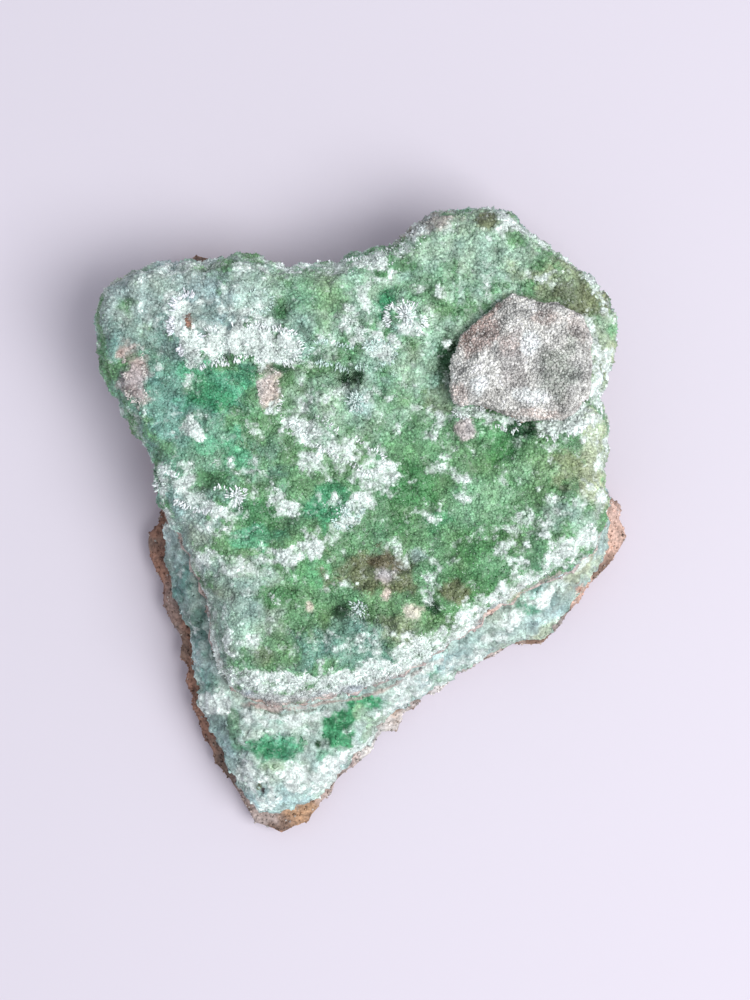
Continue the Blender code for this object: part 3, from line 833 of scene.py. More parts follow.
class NodeGroups:
    """Shader node groups that more than one finish uses, built once each."""

    @staticmethod
    def opened(name: str, inputs: dict[str, float], outputs: tuple[str, ...]) -> tuple:
        """Starts a group.

        Args:
            name: the group's name.
            inputs: its inputs' names and usual values.
            outputs: its outputs' names.

        Returns:
            The group's wiring, what its inputs give, and where its outputs are joined.
        """
        group = bpy.data.node_groups.new(name, "ShaderNodeTree")
        face = group.interface
        for socket, value in inputs.items():
            face.new_socket(name=socket, in_out="INPUT", socket_type="NodeSocketFloat").default_value = value
        for socket in outputs:
            face.new_socket(name=socket, in_out="OUTPUT", socket_type="NodeSocketFloat")
        start, end = group.nodes.new("NodeGroupInput"), group.nodes.new("NodeGroupOutput")
        return Wiring(group), start.outputs, end.inputs

    @staticmethod
    @cache
    def grain() -> bpy.types.NodeTree:
        """Fine grain at a given scale.

        Mask is soft noise. Height adds small pits to it. Shards is a random value for each of the jagged
        cells that the pits lie in.

        Returns:
            The group.
        """
        tree, given, out = NodeGroups.opened("grain", {"Scale": 1500.0}, ("Mask", "Height", "Shards"))
        place = tree.add("TexCoord").outputs["Object"]
        fine = tree.add("TexNoise", {"Detail": 3.0})
        jagged = tree.add("VectorMath", {1: (0.4 * MM, 0.4 * MM, 0.4 * MM)}, "MULTIPLY_ADD")
        cells = tree.add("TexVoronoi")
        pitted = tree.add("Math", {1: 0.55}, "MULTIPLY_ADD")
        split = tree.add("SeparateColor")
        tree.join(
            (place, fine.inputs["Vector"]),
            (given["Scale"], fine.inputs["Scale"]),
            (fine.outputs["Color"], jagged.inputs[0]),
            (place, jagged.inputs[2]),
            (jagged.outputs["Vector"], cells.inputs["Vector"]),
            (given["Scale"], cells.inputs["Scale"]),
            (cells.outputs["Distance"], pitted.inputs[0]),
            (fine.outputs["Fac"], pitted.inputs[2]),
            (cells.outputs["Color"], split.inputs["Color"]),
            (fine.outputs["Fac"], out["Mask"]),
            (pitted.outputs["Value"], out["Height"]),
            (split.outputs["Red"], out["Shards"]),
        )
        return tree.tree

    @staticmethod
    @cache
    def frost() -> bpy.types.NodeTree:
        """Where frost lies, with ragged edges.

        Frosted is the given level plus layered noise about its middle, steepened round one half, so that
        half frosted places break up into white flecks and green gaps.

        Returns:
            The group.
        """
        inputs = {"Level": 0.0, "Scale": 700.0, "Raggedness": 2.0, "Softness": 0.4}
        tree, given, out = NodeGroups.opened("frost", inputs, ("Frosted",))
        noise = tree.add("TexNoise", {"Detail": 5.0, "Roughness": 0.62})
        centred = tree.add("Math", {1: 0.5}, "SUBTRACT")
        added = tree.add("Math", operation="MULTIPLY_ADD")
        middle = tree.add("Math", {1: 0.5}, "SUBTRACT")
        steep = tree.add("Math", operation="DIVIDE")
        risen = tree.add("Math", {1: 0.5}, "ADD")
        risen.use_clamp = True
        tree.join(
            (tree.add("TexCoord").outputs["Object"], noise.inputs["Vector"]),
            (given["Scale"], noise.inputs["Scale"]),
            (noise.outputs["Fac"], centred.inputs[0]),
            (centred.outputs["Value"], added.inputs[0]),
            (given["Raggedness"], added.inputs[1]),
            (given["Level"], added.inputs[2]),
            (added.outputs["Value"], middle.inputs[0]),
            (middle.outputs["Value"], steep.inputs[0]),
            (given["Softness"], steep.inputs[1]),
            (steep.outputs["Value"], risen.inputs[0]),
            (risen.outputs["Value"], out["Frosted"]),
        )
        return tree.tree


@dataclass(frozen=True)
class Finish:
    """A stone finish that takes its colour and frost from the piece's own attributes.

    Grain of one size lightens and darkens the colour. Glassy is the roughness where there is no frost, and
    frosted the roughness where there is most.
    """

    name: str
    glassy: float
    frosted: float
    speck_scale: float = 3000.0
    speck_dark: float = 0.70
    speck_light: float = 1.26
    bump: float = 0.0
    bump_depth: float = 0.1 * MM
    ior: float = 1.5

    def material(self) -> bpy.types.Material:
        """Builds the material.

        Returns:
            The new material.
        """
        material = bpy.data.materials.new(self.name)
        material.use_nodes = True
        tree = Wiring(material.node_tree)
        shader = material.node_tree.nodes["Principled BSDF"].inputs
        frost = tree.attribute("frost").outputs["Fac"]
        grain = tree.group(NodeGroups.grain(), {"Scale": self.speck_scale}).outputs
        middle = {"From Min": 0.32, "From Max": 0.68}
        specks = tree.add("MapRange", {**middle, "To Min": self.speck_dark, "To Max": self.speck_light})
        rough = tree.add("MapRange", {"To Min": self.glassy, "To Max": self.frosted})
        shade = tree.add("VectorMath", operation="SCALE")
        tree.join(
            (grain["Mask"], specks.inputs["Value"]),
            (self.colour(tree, frost), shade.inputs["Vector"]),
            (specks.outputs["Result"], shade.inputs["Scale"]),
            (shade.outputs["Vector"], shader["Base Color"]),
            (frost, rough.inputs["Value"]),
            (rough.outputs["Result"], shader["Roughness"]),
        )
        if self.bump > 0.0:
            bump = tree.add("Bump", {"Strength": self.bump, "Distance": self.bump_depth})
            tree.join((grain["Height"], bump.inputs["Height"]), (bump.outputs["Normal"], shader["Normal"]))
        shader["IOR"].default_value = self.ior
        return material

    def colour(self, tree: Wiring, frost: bpy.types.NodeSocket) -> bpy.types.NodeSocket:
        """The socket of the piece's own tone."""
        return tree.attribute("tone").outputs["Color"]


@dataclass(frozen=True)
class DruseFinish(Finish):
    """A finish of green crystals that are white where they are frosted, in ragged flecks."""

    frost_tone: Tone = Tone.MINT_FROST
    frost_shade: float = 0.95
    frost_scale: float = 700.0
    raggedness: float = 1.9
    softness: float = 0.62
    shard_scale: float = 1500.0
    shard_light: float = 0.22

    def colour(self, tree: Wiring, frost: bpy.types.NodeSocket) -> bpy.types.NodeSocket:
        """The tone with frost laid over it, lighter and darker by the piece's own light and by shards.

        Args:
            tree: the material's wiring.
            frost: the socket that gives the piece's frost.

        Returns:
            The colour's socket.
        """
        tone = super().colour(tree, frost)
        flecks = {"Scale": self.frost_scale, "Raggedness": self.raggedness, "Softness": self.softness}
        ragged = tree.group(NodeGroups.frost(), flecks)
        over = tree.add("Mix")
        over.data_type = "RGBA"
        over.inputs["B"].default_value = (*(self.frost_shade * self.frost_tone.linear()), 1.0)
        shards = tree.group(NodeGroups.grain(), {"Scale": self.shard_scale})
        spread = tree.add("MapRange", {"To Min": 1.0 - self.shard_light, "To Max": 1.0 + self.shard_light})
        both = tree.add("Math", operation="MULTIPLY")
        lit = tree.add("VectorMath", operation="SCALE")
        tree.join(
            (frost, ragged.inputs["Level"]),
            (ragged.outputs["Frosted"], over.inputs["Factor"]),
            (tone, over.inputs["A"]),
            (shards.outputs["Shards"], spread.inputs["Value"]),
            (tree.attribute("light").outputs["Fac"], both.inputs[0]),
            (spread.outputs["Result"], both.inputs[1]),
            (over.outputs["Result"], lit.inputs["Vector"]),
            (both.outputs["Value"], lit.inputs["Scale"]),
        )
        return lit.outputs["Vector"]


@dataclass(frozen=True)
class Spray:
    """A spray of long crystals from one point: its middle and radius in the frame's pixels.

    The middle is sunk by a share of the radius. Spread is the outermost crystals' lean in radians, and
    widths are in millimetres.
    """

    across: float
    down: float
    radius: float
    tone: Tone
    blades: int
    sunk: float = 0.50
    spread: float = 1.35
    widths: tuple[float, float] = (0.22, 0.46)


UPPER_PAINT = Paint(
    ground=Tone.LEAF,
    patches=patches(
        # The broad regions, left to right
        (Tone.SAGE, 185, 300, 100, 48),
        (Tone.TEAL, 165, 385, 45, 60, 0.8),
        (Tone.TEAL, 205, 450, 60, 60, 0.6),
        (Tone.MINT, 330, 300, 75, 40, 0.8),
        (Tone.MINT, 350, 400, 60, 50, 0.7),
        (Tone.MINT, 475, 260, 85, 48),
        (Tone.MINT, 425, 370, 45, 55, 0.8),
        (Tone.OLIVE_MINT, 565, 290, 45, 45, 0.9),
        (Tone.LEAF, 450, 520, 95, 95),
        (Tone.SAGE, 235, 610, 50, 55, 0.7),
        (Tone.TEAL, 345, 640, 50, 24, 0.8),
        (Tone.YELLOW_MINT, 596, 450, 18, 60, 0.9),
        (Tone.YELLOW_MINT, 606, 360, 12, 60, 0.8),
        (Tone.SAGE, 182, 560, 26, 75, 0.8, 12),
        # The upper left lobe
        (Tone.GREY_TEAL, 130, 338, 18, 14, 0.9),
        (Tone.GREY_TEAL, 172, 352, 16, 10, 0.8),
        (Tone.GREY_TEAL, 209, 311, 10, 14, 0.7),
        (Tone.GREY_TEAL, 165, 290, 18, 10, 0.5),
        (Tone.AQUA, 252, 300, 18, 13, 0.8),
        (Tone.AQUA, 211, 288, 9, 8),
        (Tone.TEAL, 112, 352, 9, 12, 0.6),
        # The terrace and the green hollows under it
        (Tone.PALE_LEAF, 312, 296, 32, 18),
        (Tone.MINT, 300, 340, 20, 22),
        (Tone.DEEP_LEAF, 281, 311, 8, 7, 0.9),
        (Tone.VIVID, 385, 306, 9, 16),
        (Tone.DEEP_LEAF, 384, 270, 10, 8, 0.9),
        (Tone.LEAF, 430, 285, 24, 14, 0.7, -20),
        # Painted shadow under the edges of the white band and the terrace, and painted shade in two pits
        (Tone.SHADE_GREEN, 268, 369, 24, 4, 0.9),
        (Tone.SHADE_GREEN, 345, 378, 5, 8),
        (Tone.SHADE_GREEN, 358, 377, 5, 6),
        (Tone.SHADE_GREEN, 317, 356, 8, 6, 0.6),
        (Tone.EMERALD, 215, 388, 36, 20),
        (Tone.VIVID, 212, 396, 20, 12, 0.9),
        (Tone.EMERALD, 190, 372, 18, 10, 0.8),
        (Tone.LEAF, 250, 425, 22, 16),
        (Tone.EMERALD, 236, 456, 15, 22, 0.95),
        (Tone.EMERALD, 205, 446, 12, 10, 0.7),
        (Tone.DEEP_LEAF, 210, 478, 22, 10, 0.8),
        (Tone.AQUA, 357, 402, 14, 14, 0.8),
        (Tone.LEAF, 395, 395, 18, 14, 0.7),
        # The middle
        (Tone.DEEP_LEAF, 414, 492, 30, 34, 1.0),
        (Tone.VIVID, 440, 520, 14, 10, 0.6),
        (Tone.PALE_LEAF, 480, 505, 26, 22, 0.9),
        (Tone.LEAF, 430, 445, 30, 16, 0.9),
        (Tone.DEEP_LEAF, 485, 545, 32, 20, 0.8),
        (Tone.DEEP_LEAF, 470, 588, 40, 18, 0.8, -20),
        (Tone.OLIVE, 452, 592, 13, 9, 0.9),
        (Tone.DEEP_LEAF, 262, 520, 15, 28, 0.9),
        (Tone.VIVID, 328, 503, 22, 17, 0.9, -30),
        (Tone.EMERALD, 247, 541, 30, 10, 0.8, -8),
        (Tone.LIME, 315, 577, 24, 17),
        (Tone.DEEP_LEAF, 280, 596, 18, 10, 0.9),
        # Painted shade in a pit
        (Tone.SHADE_GREEN, 340, 610, 9, 8, 0.9),
        (Tone.OLIVE, 368, 576, 38, 24, 0.95),
        (Tone.UMBER, 386, 562, 14, 8, 0.8),
        (Tone.PINK_TAN, 384, 576, 9, 7),
        (Tone.PINK_TAN, 385, 596, 8, 6),
        (Tone.OLIVE_MINT, 400, 628, 26, 16, 0.8),
        (Tone.CREAM, 413, 612, 9, 7, 0.9),
        # Painted shade in a pit
        (Tone.SHADE_GREEN, 433, 606, 6, 7),
        (Tone.LEAF, 275, 648, 20, 18, 0.8),
        (Tone.OLIVE, 262, 660, 12, 8, 0.5),
        (Tone.CREAM, 309, 606, 5, 5),
        (Tone.MINT, 238, 628, 20, 14, 0.7),
        (Tone.AQUA, 420, 554, 9, 7, 0.8),
        (Tone.TEAL, 365, 635, 12, 16, 0.8),
        # Round the block and along the right edge
        # Painted shade in a pit beside the block
        (Tone.SHADE_GREEN, 447, 362, 9, 24, 0.95),
        (Tone.OLIVE_MINT, 440, 400, 12, 12, 0.6),
        (Tone.LIME, 492, 428, 18, 10, 0.8),
        # Painted shade in a pit under the block
        (Tone.SHADE_GREEN, 521, 430, 14, 11),
        (Tone.DEEP_LEAF, 498, 450, 16, 12, 0.9),
        (Tone.OLIVE_MINT, 568, 465, 16, 18, 0.8),
        (Tone.PALE_LEAF, 528, 467, 18, 12, 0.9),
        (Tone.OLIVE, 584, 303, 26, 15, 0.8),
        (Tone.OLIVE, 488, 221, 9, 8, 0.9),
        (Tone.OLIVE, 598, 370, 7, 9, 0.7),
        (Tone.SAGE, 570, 510, 26, 12, 0.6),
        (Tone.MINT, 584, 524, 13, 8, 0.8),
        # Nubs of pinkish rock grains
        (Tone.PINK_ASH, 136, 377, 14, 24, 1.0, -10),
        (Tone.PINK_TAN, 269, 388, 10, 19),
        (Tone.PINK_TAN, 464, 431, 9, 9),
        (Tone.RUST, 188, 320, 3.6, 8, 1.0, -15),
        (Tone.PINK_ASH, 425, 224, 34, 10, 0.8, -25),
    ),
    strokes=strokes(
        # The flank under the rolled front rim, and the stained rock next to the seam
        (Tone.LILAC_GREY, 6, 0.9, 226, 692, 258, 698, 300, 698, 358, 688, 390, 677),
        (Tone.LILAC_GREY, 4, 0.8, 390, 677, 440, 652, 490, 610, 530, 580),
        (Tone.PINK_ASH, 4.0, 0.9, 250, 700, 277, 706, 306, 704, 332, 698),
        (Tone.PINK_ASH, 2.4, 0.9, 332, 698, 358, 695, 390, 683, 413, 670, 440, 656),
        (Tone.PINK_ASH, 2.4, 0.8, 480, 622, 505, 606, 530, 588, 560, 573),
        (Tone.PINK_ASH, 3.0, 0.7, 205, 600, 212, 640, 226, 684),
        # A fine crack in the upper right lobe
        (Tone.DEEP_LEAF, 1.8, 0.6, 454, 260, 457, 290, 453, 320),
    ),
    bare=(
        *zones(
            (188, 320, 3.2, 7, 1.0, -15),
            (136, 377, 13, 23, 0.8, -10),
            (269, 388, 8, 16, 0.8),
            (384, 580, 12, 20, 0.9),
            (464, 431, 8, 8, 0.7),
            (215, 392, 30, 16, 0.6),
            (521, 430, 14, 9, 0.9),
            (350, 378, 13, 8),
        ),
        *streaks(
            (4.5, 0.9, 250, 701, 277, 707, 306, 705, 332, 699, 358, 696, 390, 684, 440, 657),
            (4, 0.8, 480, 622, 505, 606, 530, 588, 560, 573),
            (6, 0.5, 226, 694, 300, 700, 358, 690, 390, 679),
        ),
    ),
    frost=streaks(
        # Tufts of the upper left lobe and the terrace's edge
        (12, 1.2, 186, 306, 184, 330, 194, 356),
        (16, 1.4, 214, 346, 245, 340, 284, 348),
        (12, 0.8, 230, 316, 262, 322, 276, 334),
        (9, 0.72, 112, 290, 150, 270, 230, 262, 285, 268),
        (7, 0.9, 160, 324, 162, 327),
        (6, 0.95, 283, 270, 330, 268, 380, 264),
        (9, 0.8, 365, 268, 395, 252, 425, 226),
        # Sprays and bands of the middle
        (13, 0.95, 350, 322, 368, 345, 385, 350),
        (13, 1.1, 405, 312, 412, 322),
        (8, 0.8, 296, 400, 330, 395, 350, 388),
        (15, 0.98, 278, 404, 305, 428, 345, 452, 378, 470),
        (12, 0.9, 300, 462, 340, 470, 375, 486),
        (12, 1.05, 185, 428, 198, 434),
        (13, 1.0, 165, 480, 195, 500, 228, 512),
        (10, 0.9, 275, 500, 292, 512),
        (12, 0.95, 372, 488, 352, 512, 330, 540),
        (10, 1.15, 285, 556, 316, 548),
        (11, 0.85, 200, 556, 240, 566, 285, 574),
        (14, 0.7, 180, 560, 205, 600, 225, 640),
        (10, 0.8, 238, 590, 262, 588),
        (8, 0.9, 396, 545, 404, 566),
        (7, 0.7, 448, 466, 462, 478),
        (10, 0.6, 360, 612, 366, 618),
        (9, 0.85, 440, 420, 432, 432),
        # The collar round the block and the right edge
        (7, 1.0, 456, 408, 480, 414, 510, 420),
        (11, 1.1, 545, 428, 575, 420, 595, 398),
        (9, 0.95, 598, 395, 600, 350, 590, 330),
        (8, 0.7, 602, 420, 598, 460, 592, 500),
        (5, 0.9, 560, 250, 590, 280, 610, 320),
        (6, 0.9, 500, 215, 535, 240, 560, 256),
        (10, 0.6, 555, 488, 575, 492),
        (12, 0.85, 526, 516, 545, 524),
        (12, 0.7, 560, 506, 592, 500),
        # The rolled front rim
        (12, 1.1, 224, 676, 270, 687, 330, 683, 385, 670),
        (14, 1.0, 385, 668, 440, 644, 490, 606, 530, 572, 590, 540),
        (9, 0.85, 205, 600, 210, 640, 222, 672),
        (6, 0.7, 160, 470, 168, 520, 190, 570),
        (17, 0.72, 226, 600, 232, 640, 250, 664),
        (18, 0.66, 300, 640, 350, 650, 400, 640),
        (22, 0.42, 440, 250, 500, 262, 560, 262),
    ),
    frost_ground=0.34,
    coarse=zones(
        (480, 265, 90, 55),
        (430, 330, 45, 60, 0.9),
        (580, 300, 40, 50, 0.8),
        (600, 420, 24, 90, 0.9),
        (345, 400, 50, 40, 0.7),
        (540, 440, 50, 24, 0.8),
        (560, 500, 50, 40, 0.6),
        (300, 320, 30, 40, 0.4),
    ),
    coarse_ground=0.16,
    needles=streaks(
        (14, 0.3, 186, 306, 184, 330, 194, 356),
        (12, 0.3, 214, 352, 245, 350, 280, 358),
        (9, 0.5, 365, 268, 395, 252, 425, 226),
        (15, 0.85, 350, 322, 368, 345, 385, 360),
        (16, 0.9, 405, 305, 412, 330),
        (12, 0.8, 340, 372, 365, 372),
        (10, 0.5, 300, 355, 320, 352),
        (12, 0.6, 165, 480, 195, 500, 235, 500),
        (12, 0.6, 340, 504, 350, 520),
        (14, 0.7, 350, 604, 370, 620),
        (6, 0.5, 455, 406, 510, 416),
        (8, 0.35, 222, 672, 300, 690, 385, 672, 440, 640),
    ),
    side=(Tone.SAGE, Tone.AQUA, Tone.MINT, Tone.FROST, Tone.GREY_TEAL, Tone.OLIVE_MINT),
)

LEDGE_PAINT = Paint(
    ground=Tone.AQUA,
    patches=patches(
        (Tone.GREY_TEAL, 185, 590, 22, 70, 0.9, 10),
        (Tone.BLUE_TEAL, 184, 582, 9, 26, 0.9, 10),
        (Tone.BLUE_TEAL, 198, 622, 8, 18, 0.9, 10),
        (Tone.TEAL, 208, 680, 11, 22, 0.8, 5),
        (Tone.GREY_TEAL, 222, 735, 12, 34, 0.7, -18),
        (Tone.DEEP_LEAF, 235, 728, 5, 26, 0.6, -10),
        (Tone.TEAL, 267, 710, 7, 4, 0.9),
        (Tone.TEAL, 280, 716, 6, 7, 0.7),
        (Tone.EMERALD, 277, 749, 28, 14, 1.5),
        (Tone.VIVID, 270, 750, 14, 8, 1.2),
        (Tone.VIVID, 340, 722, 15, 26, 1.6, 42),
        (Tone.VIVID, 358, 703, 17, 8, 1.5),
        # Painted shade in a pit
        (Tone.SHADE_GREEN, 318, 744, 4, 5),
        (Tone.PALE_LEAF, 358, 712, 6, 8),
        (Tone.MINT, 368, 722, 12, 12, 0.8),
        (Tone.MINT, 276, 765, 13, 6, 0.9),
        (Tone.EMERALD, 325, 755, 8, 8, 0.6),
        (Tone.LIME, 432, 672, 9, 9, 0.6),
        (Tone.EMERALD, 527, 605, 12, 8, 0.8),
        (Tone.TEAL, 528, 588, 10, 5, 0.8),
        (Tone.GREY_TEAL, 560, 603, 17, 9, 0.6),
        (Tone.GREY_TEAL, 470, 640, 20, 8, 0.5, -30),
        (Tone.YELLOW_MINT, 545, 628, 20, 7, 0.7, -35),
        (Tone.MINT, 455, 672, 16, 5, 0.6, -25),
        (Tone.YELLOW_MINT, 576, 560, 26, 24, 0.85, -35),
        (Tone.CREAM, 592, 545, 10, 12, 0.6),
        (Tone.OLIVE, 260, 785, 3.6, 3.6, 1.6),
        (Tone.DARK_GRAIN, 264, 788, 3.4, 3.4, 1.8),
        (Tone.CLAY, 583, 590, 9, 9, 1.4),
        (Tone.PINK_ASH, 255, 705, 14, 4, 0.7),
    ),
    strokes=strokes(
        (Tone.PINK_ASH, 2.6, 0.9, 250, 703, 277, 709, 306, 707, 334, 700),
        # Painted shadow: a thin dark line under the seam's overhang
        (Tone.UMBER, 1.8, 0.6, 258, 712, 285, 714, 316, 709),
        (Tone.PINK_ASH, 1.6, 0.8, 334, 700, 358, 698, 392, 686, 415, 673, 442, 659),
    ),
    bare=(
        *streaks((4, 0.9, 248, 704, 277, 710, 306, 708, 334, 702)),
        *zones((263, 787, 6, 6, 1.4), (583, 590, 9, 9, 1.4)),
    ),
    frost=streaks(
        (10, 1.15, 206, 700, 226, 704),
        (12, 0.95, 250, 712, 290, 712, 312, 715),
        (11, 1.0, 248, 770, 262, 785, 268, 800),
        (14, 0.95, 290, 775, 320, 780, 330, 765),
        (8, 0.9, 340, 760, 375, 735, 400, 705),
        (9, 0.9, 400, 692, 440, 676, 480, 655),
        (9, 0.85, 500, 630, 545, 600, 580, 560),
        (6, 0.8, 430, 668, 480, 640, 520, 612),
        (5, 0.8, 300, 700, 330, 696),
        (8, 0.7, 170, 520, 172, 545),
    ),
    frost_ground=0.14,
    coarse_ground=0.85,
    side=(Tone.AQUA, Tone.SAGE, Tone.FROST, Tone.MINT, Tone.AQUA, Tone.GREY_TEAL),
)

HOST_PAINT = Paint(
    ground=Tone.BARK,
    hue_noise=0.3,
    side_under=True,
    patches=patches(
        (Tone.RUST, 165, 570, 25, 60, 1.0),
        (Tone.GRANITE, 172, 610, 10, 40, 0.3),
        (Tone.RUST, 200, 690, 18, 60, 0.8),
        (Tone.PINK_ASH, 262, 812, 20, 14, 0.8),
        (Tone.GOLDEN, 303, 814, 20, 15),
        (Tone.ASH, 280, 800, 16, 7, 0.7),
        (Tone.PINK_ASH, 245, 790, 8, 26, 0.6, -20),
        (Tone.GOLDEN, 393, 720, 14, 16, 0.9),
        (Tone.PINK_ASH, 350, 770, 18, 36, 0.9, 40),
        (Tone.ASH, 375, 738, 12, 20, 0.7, 40),
        (Tone.PINK_TAN, 460, 680, 70, 22, 1.0, -30),
        (Tone.CLAY, 612, 530, 16, 30),
        (Tone.CLAY, 580, 590, 18, 16),
        (Tone.GRANITE, 545, 622, 22, 10, 0.7, -30),
    ),
    side=(Tone.BARK, Tone.GOLDEN, Tone.RUST, Tone.GRANITE, Tone.BARK),
)

PARTING_PAINT = Paint(
    ground=Tone.PINK_ASH,
    hue_noise=0.3,
    patches=patches(
        (Tone.CLAY, 290, 700, 30, 8, 0.7),
        (Tone.CLAY, 490, 609, 12, 6, 0.9),
        (Tone.GRANITE, 380, 680, 30, 8, 0.6),
    ),
)

BLOCK_PAINT = Paint(
    ground=Tone.ASH,
    hue_noise=0.08,
    value_noise=2.2,
    patches=patches(
        (Tone.PINK_ASH, 480, 322, 38, 7, 1.4, -45),
        (Tone.CLAY, 480, 322, 34, 6, 0.35, -45),
        (Tone.PINK_ASH, 484, 338, 26, 10, 0.9, -45),
        (Tone.PINK_ASH, 512, 342, 14, 14, 0.7, -30),
        (Tone.GRANITE, 514, 362, 14, 12, 0.6, -40),
        (Tone.ASH, 484, 362, 12, 12, 0.9),
        (Tone.ASH, 510, 314, 12, 10, 0.9),
        (Tone.PINK_ASH, 545, 318, 14, 8, 0.6),
        (Tone.STONE_GREEN, 557, 376, 20, 22, 0.75),
        (Tone.STONE_GREEN, 572, 346, 8, 10, 0.6),
        (Tone.GRANITE, 512, 378, 12, 10, 0.5),
        (Tone.PINK_TAN, 461, 394, 12, 10, 1.2),
        (Tone.PINK_TAN, 530, 414, 40, 5, 1.2),
        (Tone.PINK_TAN, 580, 330, 8, 16, 0.7, -30),
        (Tone.FROST, 530, 340, 9, 12, 0.8),
        (Tone.FROST, 480, 386, 12, 12, 0.8),
        (Tone.FROST, 532, 396, 20, 7, 0.7),
        (Tone.GRANITE, 516, 334, 5, 12, 0.7, 20),
    ),
    side=(Tone.PINK_ASH, Tone.GRANITE, Tone.ASH, Tone.CLAY),
)

UPPER_SPRAYS = (
    Spray(407, 316, 15, Tone.FROST, 110),
    Spray(372, 346, 12, Tone.AQUA, 80),
    Spray(357, 402, 12, Tone.AQUA, 80),
    Spray(236, 496, 12, Tone.FROST, 80),
    Spray(360, 608, 12, Tone.SAGE, 70),
    Spray(344, 512, 11, Tone.AQUA, 70),
)

UPPER_TUFTS = (
    Tuft(Streak(((187, 308), (184, 328), (196, 352)), 13), 190, Tone.LILAC_FROST),
    Tuft(Streak(((216, 346), (245, 341), (284, 347)), 16), 240),
    Tuft(Streak(((252, 300), (262, 302)), 10), 70, Tone.AQUA, 0.7),
    Tuft(Streak(((322, 352), (350, 358), (385, 352)), 10), 180, Tone.AQUA),
    Tuft(Streak(((400, 316), (411, 320)), 13), 120),
    Tuft(Streak(((168, 484), (200, 500), (236, 498)), 10), 170),
    Tuft(Streak(((290, 408), (330, 440), (372, 462)), 11), 170, Tone.FROST, 0.8),
    Tuft(Streak(((344, 518), (356, 500)), 10), 90, Tone.AQUA, 0.8),
    Tuft(Streak(((460, 410), (490, 417), (512, 424)), 6), 130, Tone.FROST, 0.8),
    Tuft(Streak(((548, 430), (578, 422), (596, 402)), 8), 150, Tone.FROST, 0.8),
    Tuft(Streak(((284, 270), (330, 268), (380, 264), (420, 236)), 6), 110, Tone.FROST, 0.6),
    Tuft(Streak(((133, 362), (137, 392)), 10), 160, Tone.PINK_TAN, 0.45),
    Tuft(Streak(((269, 378), (269, 397)), 9), 130, Tone.PINK_TAN, 0.45),
)


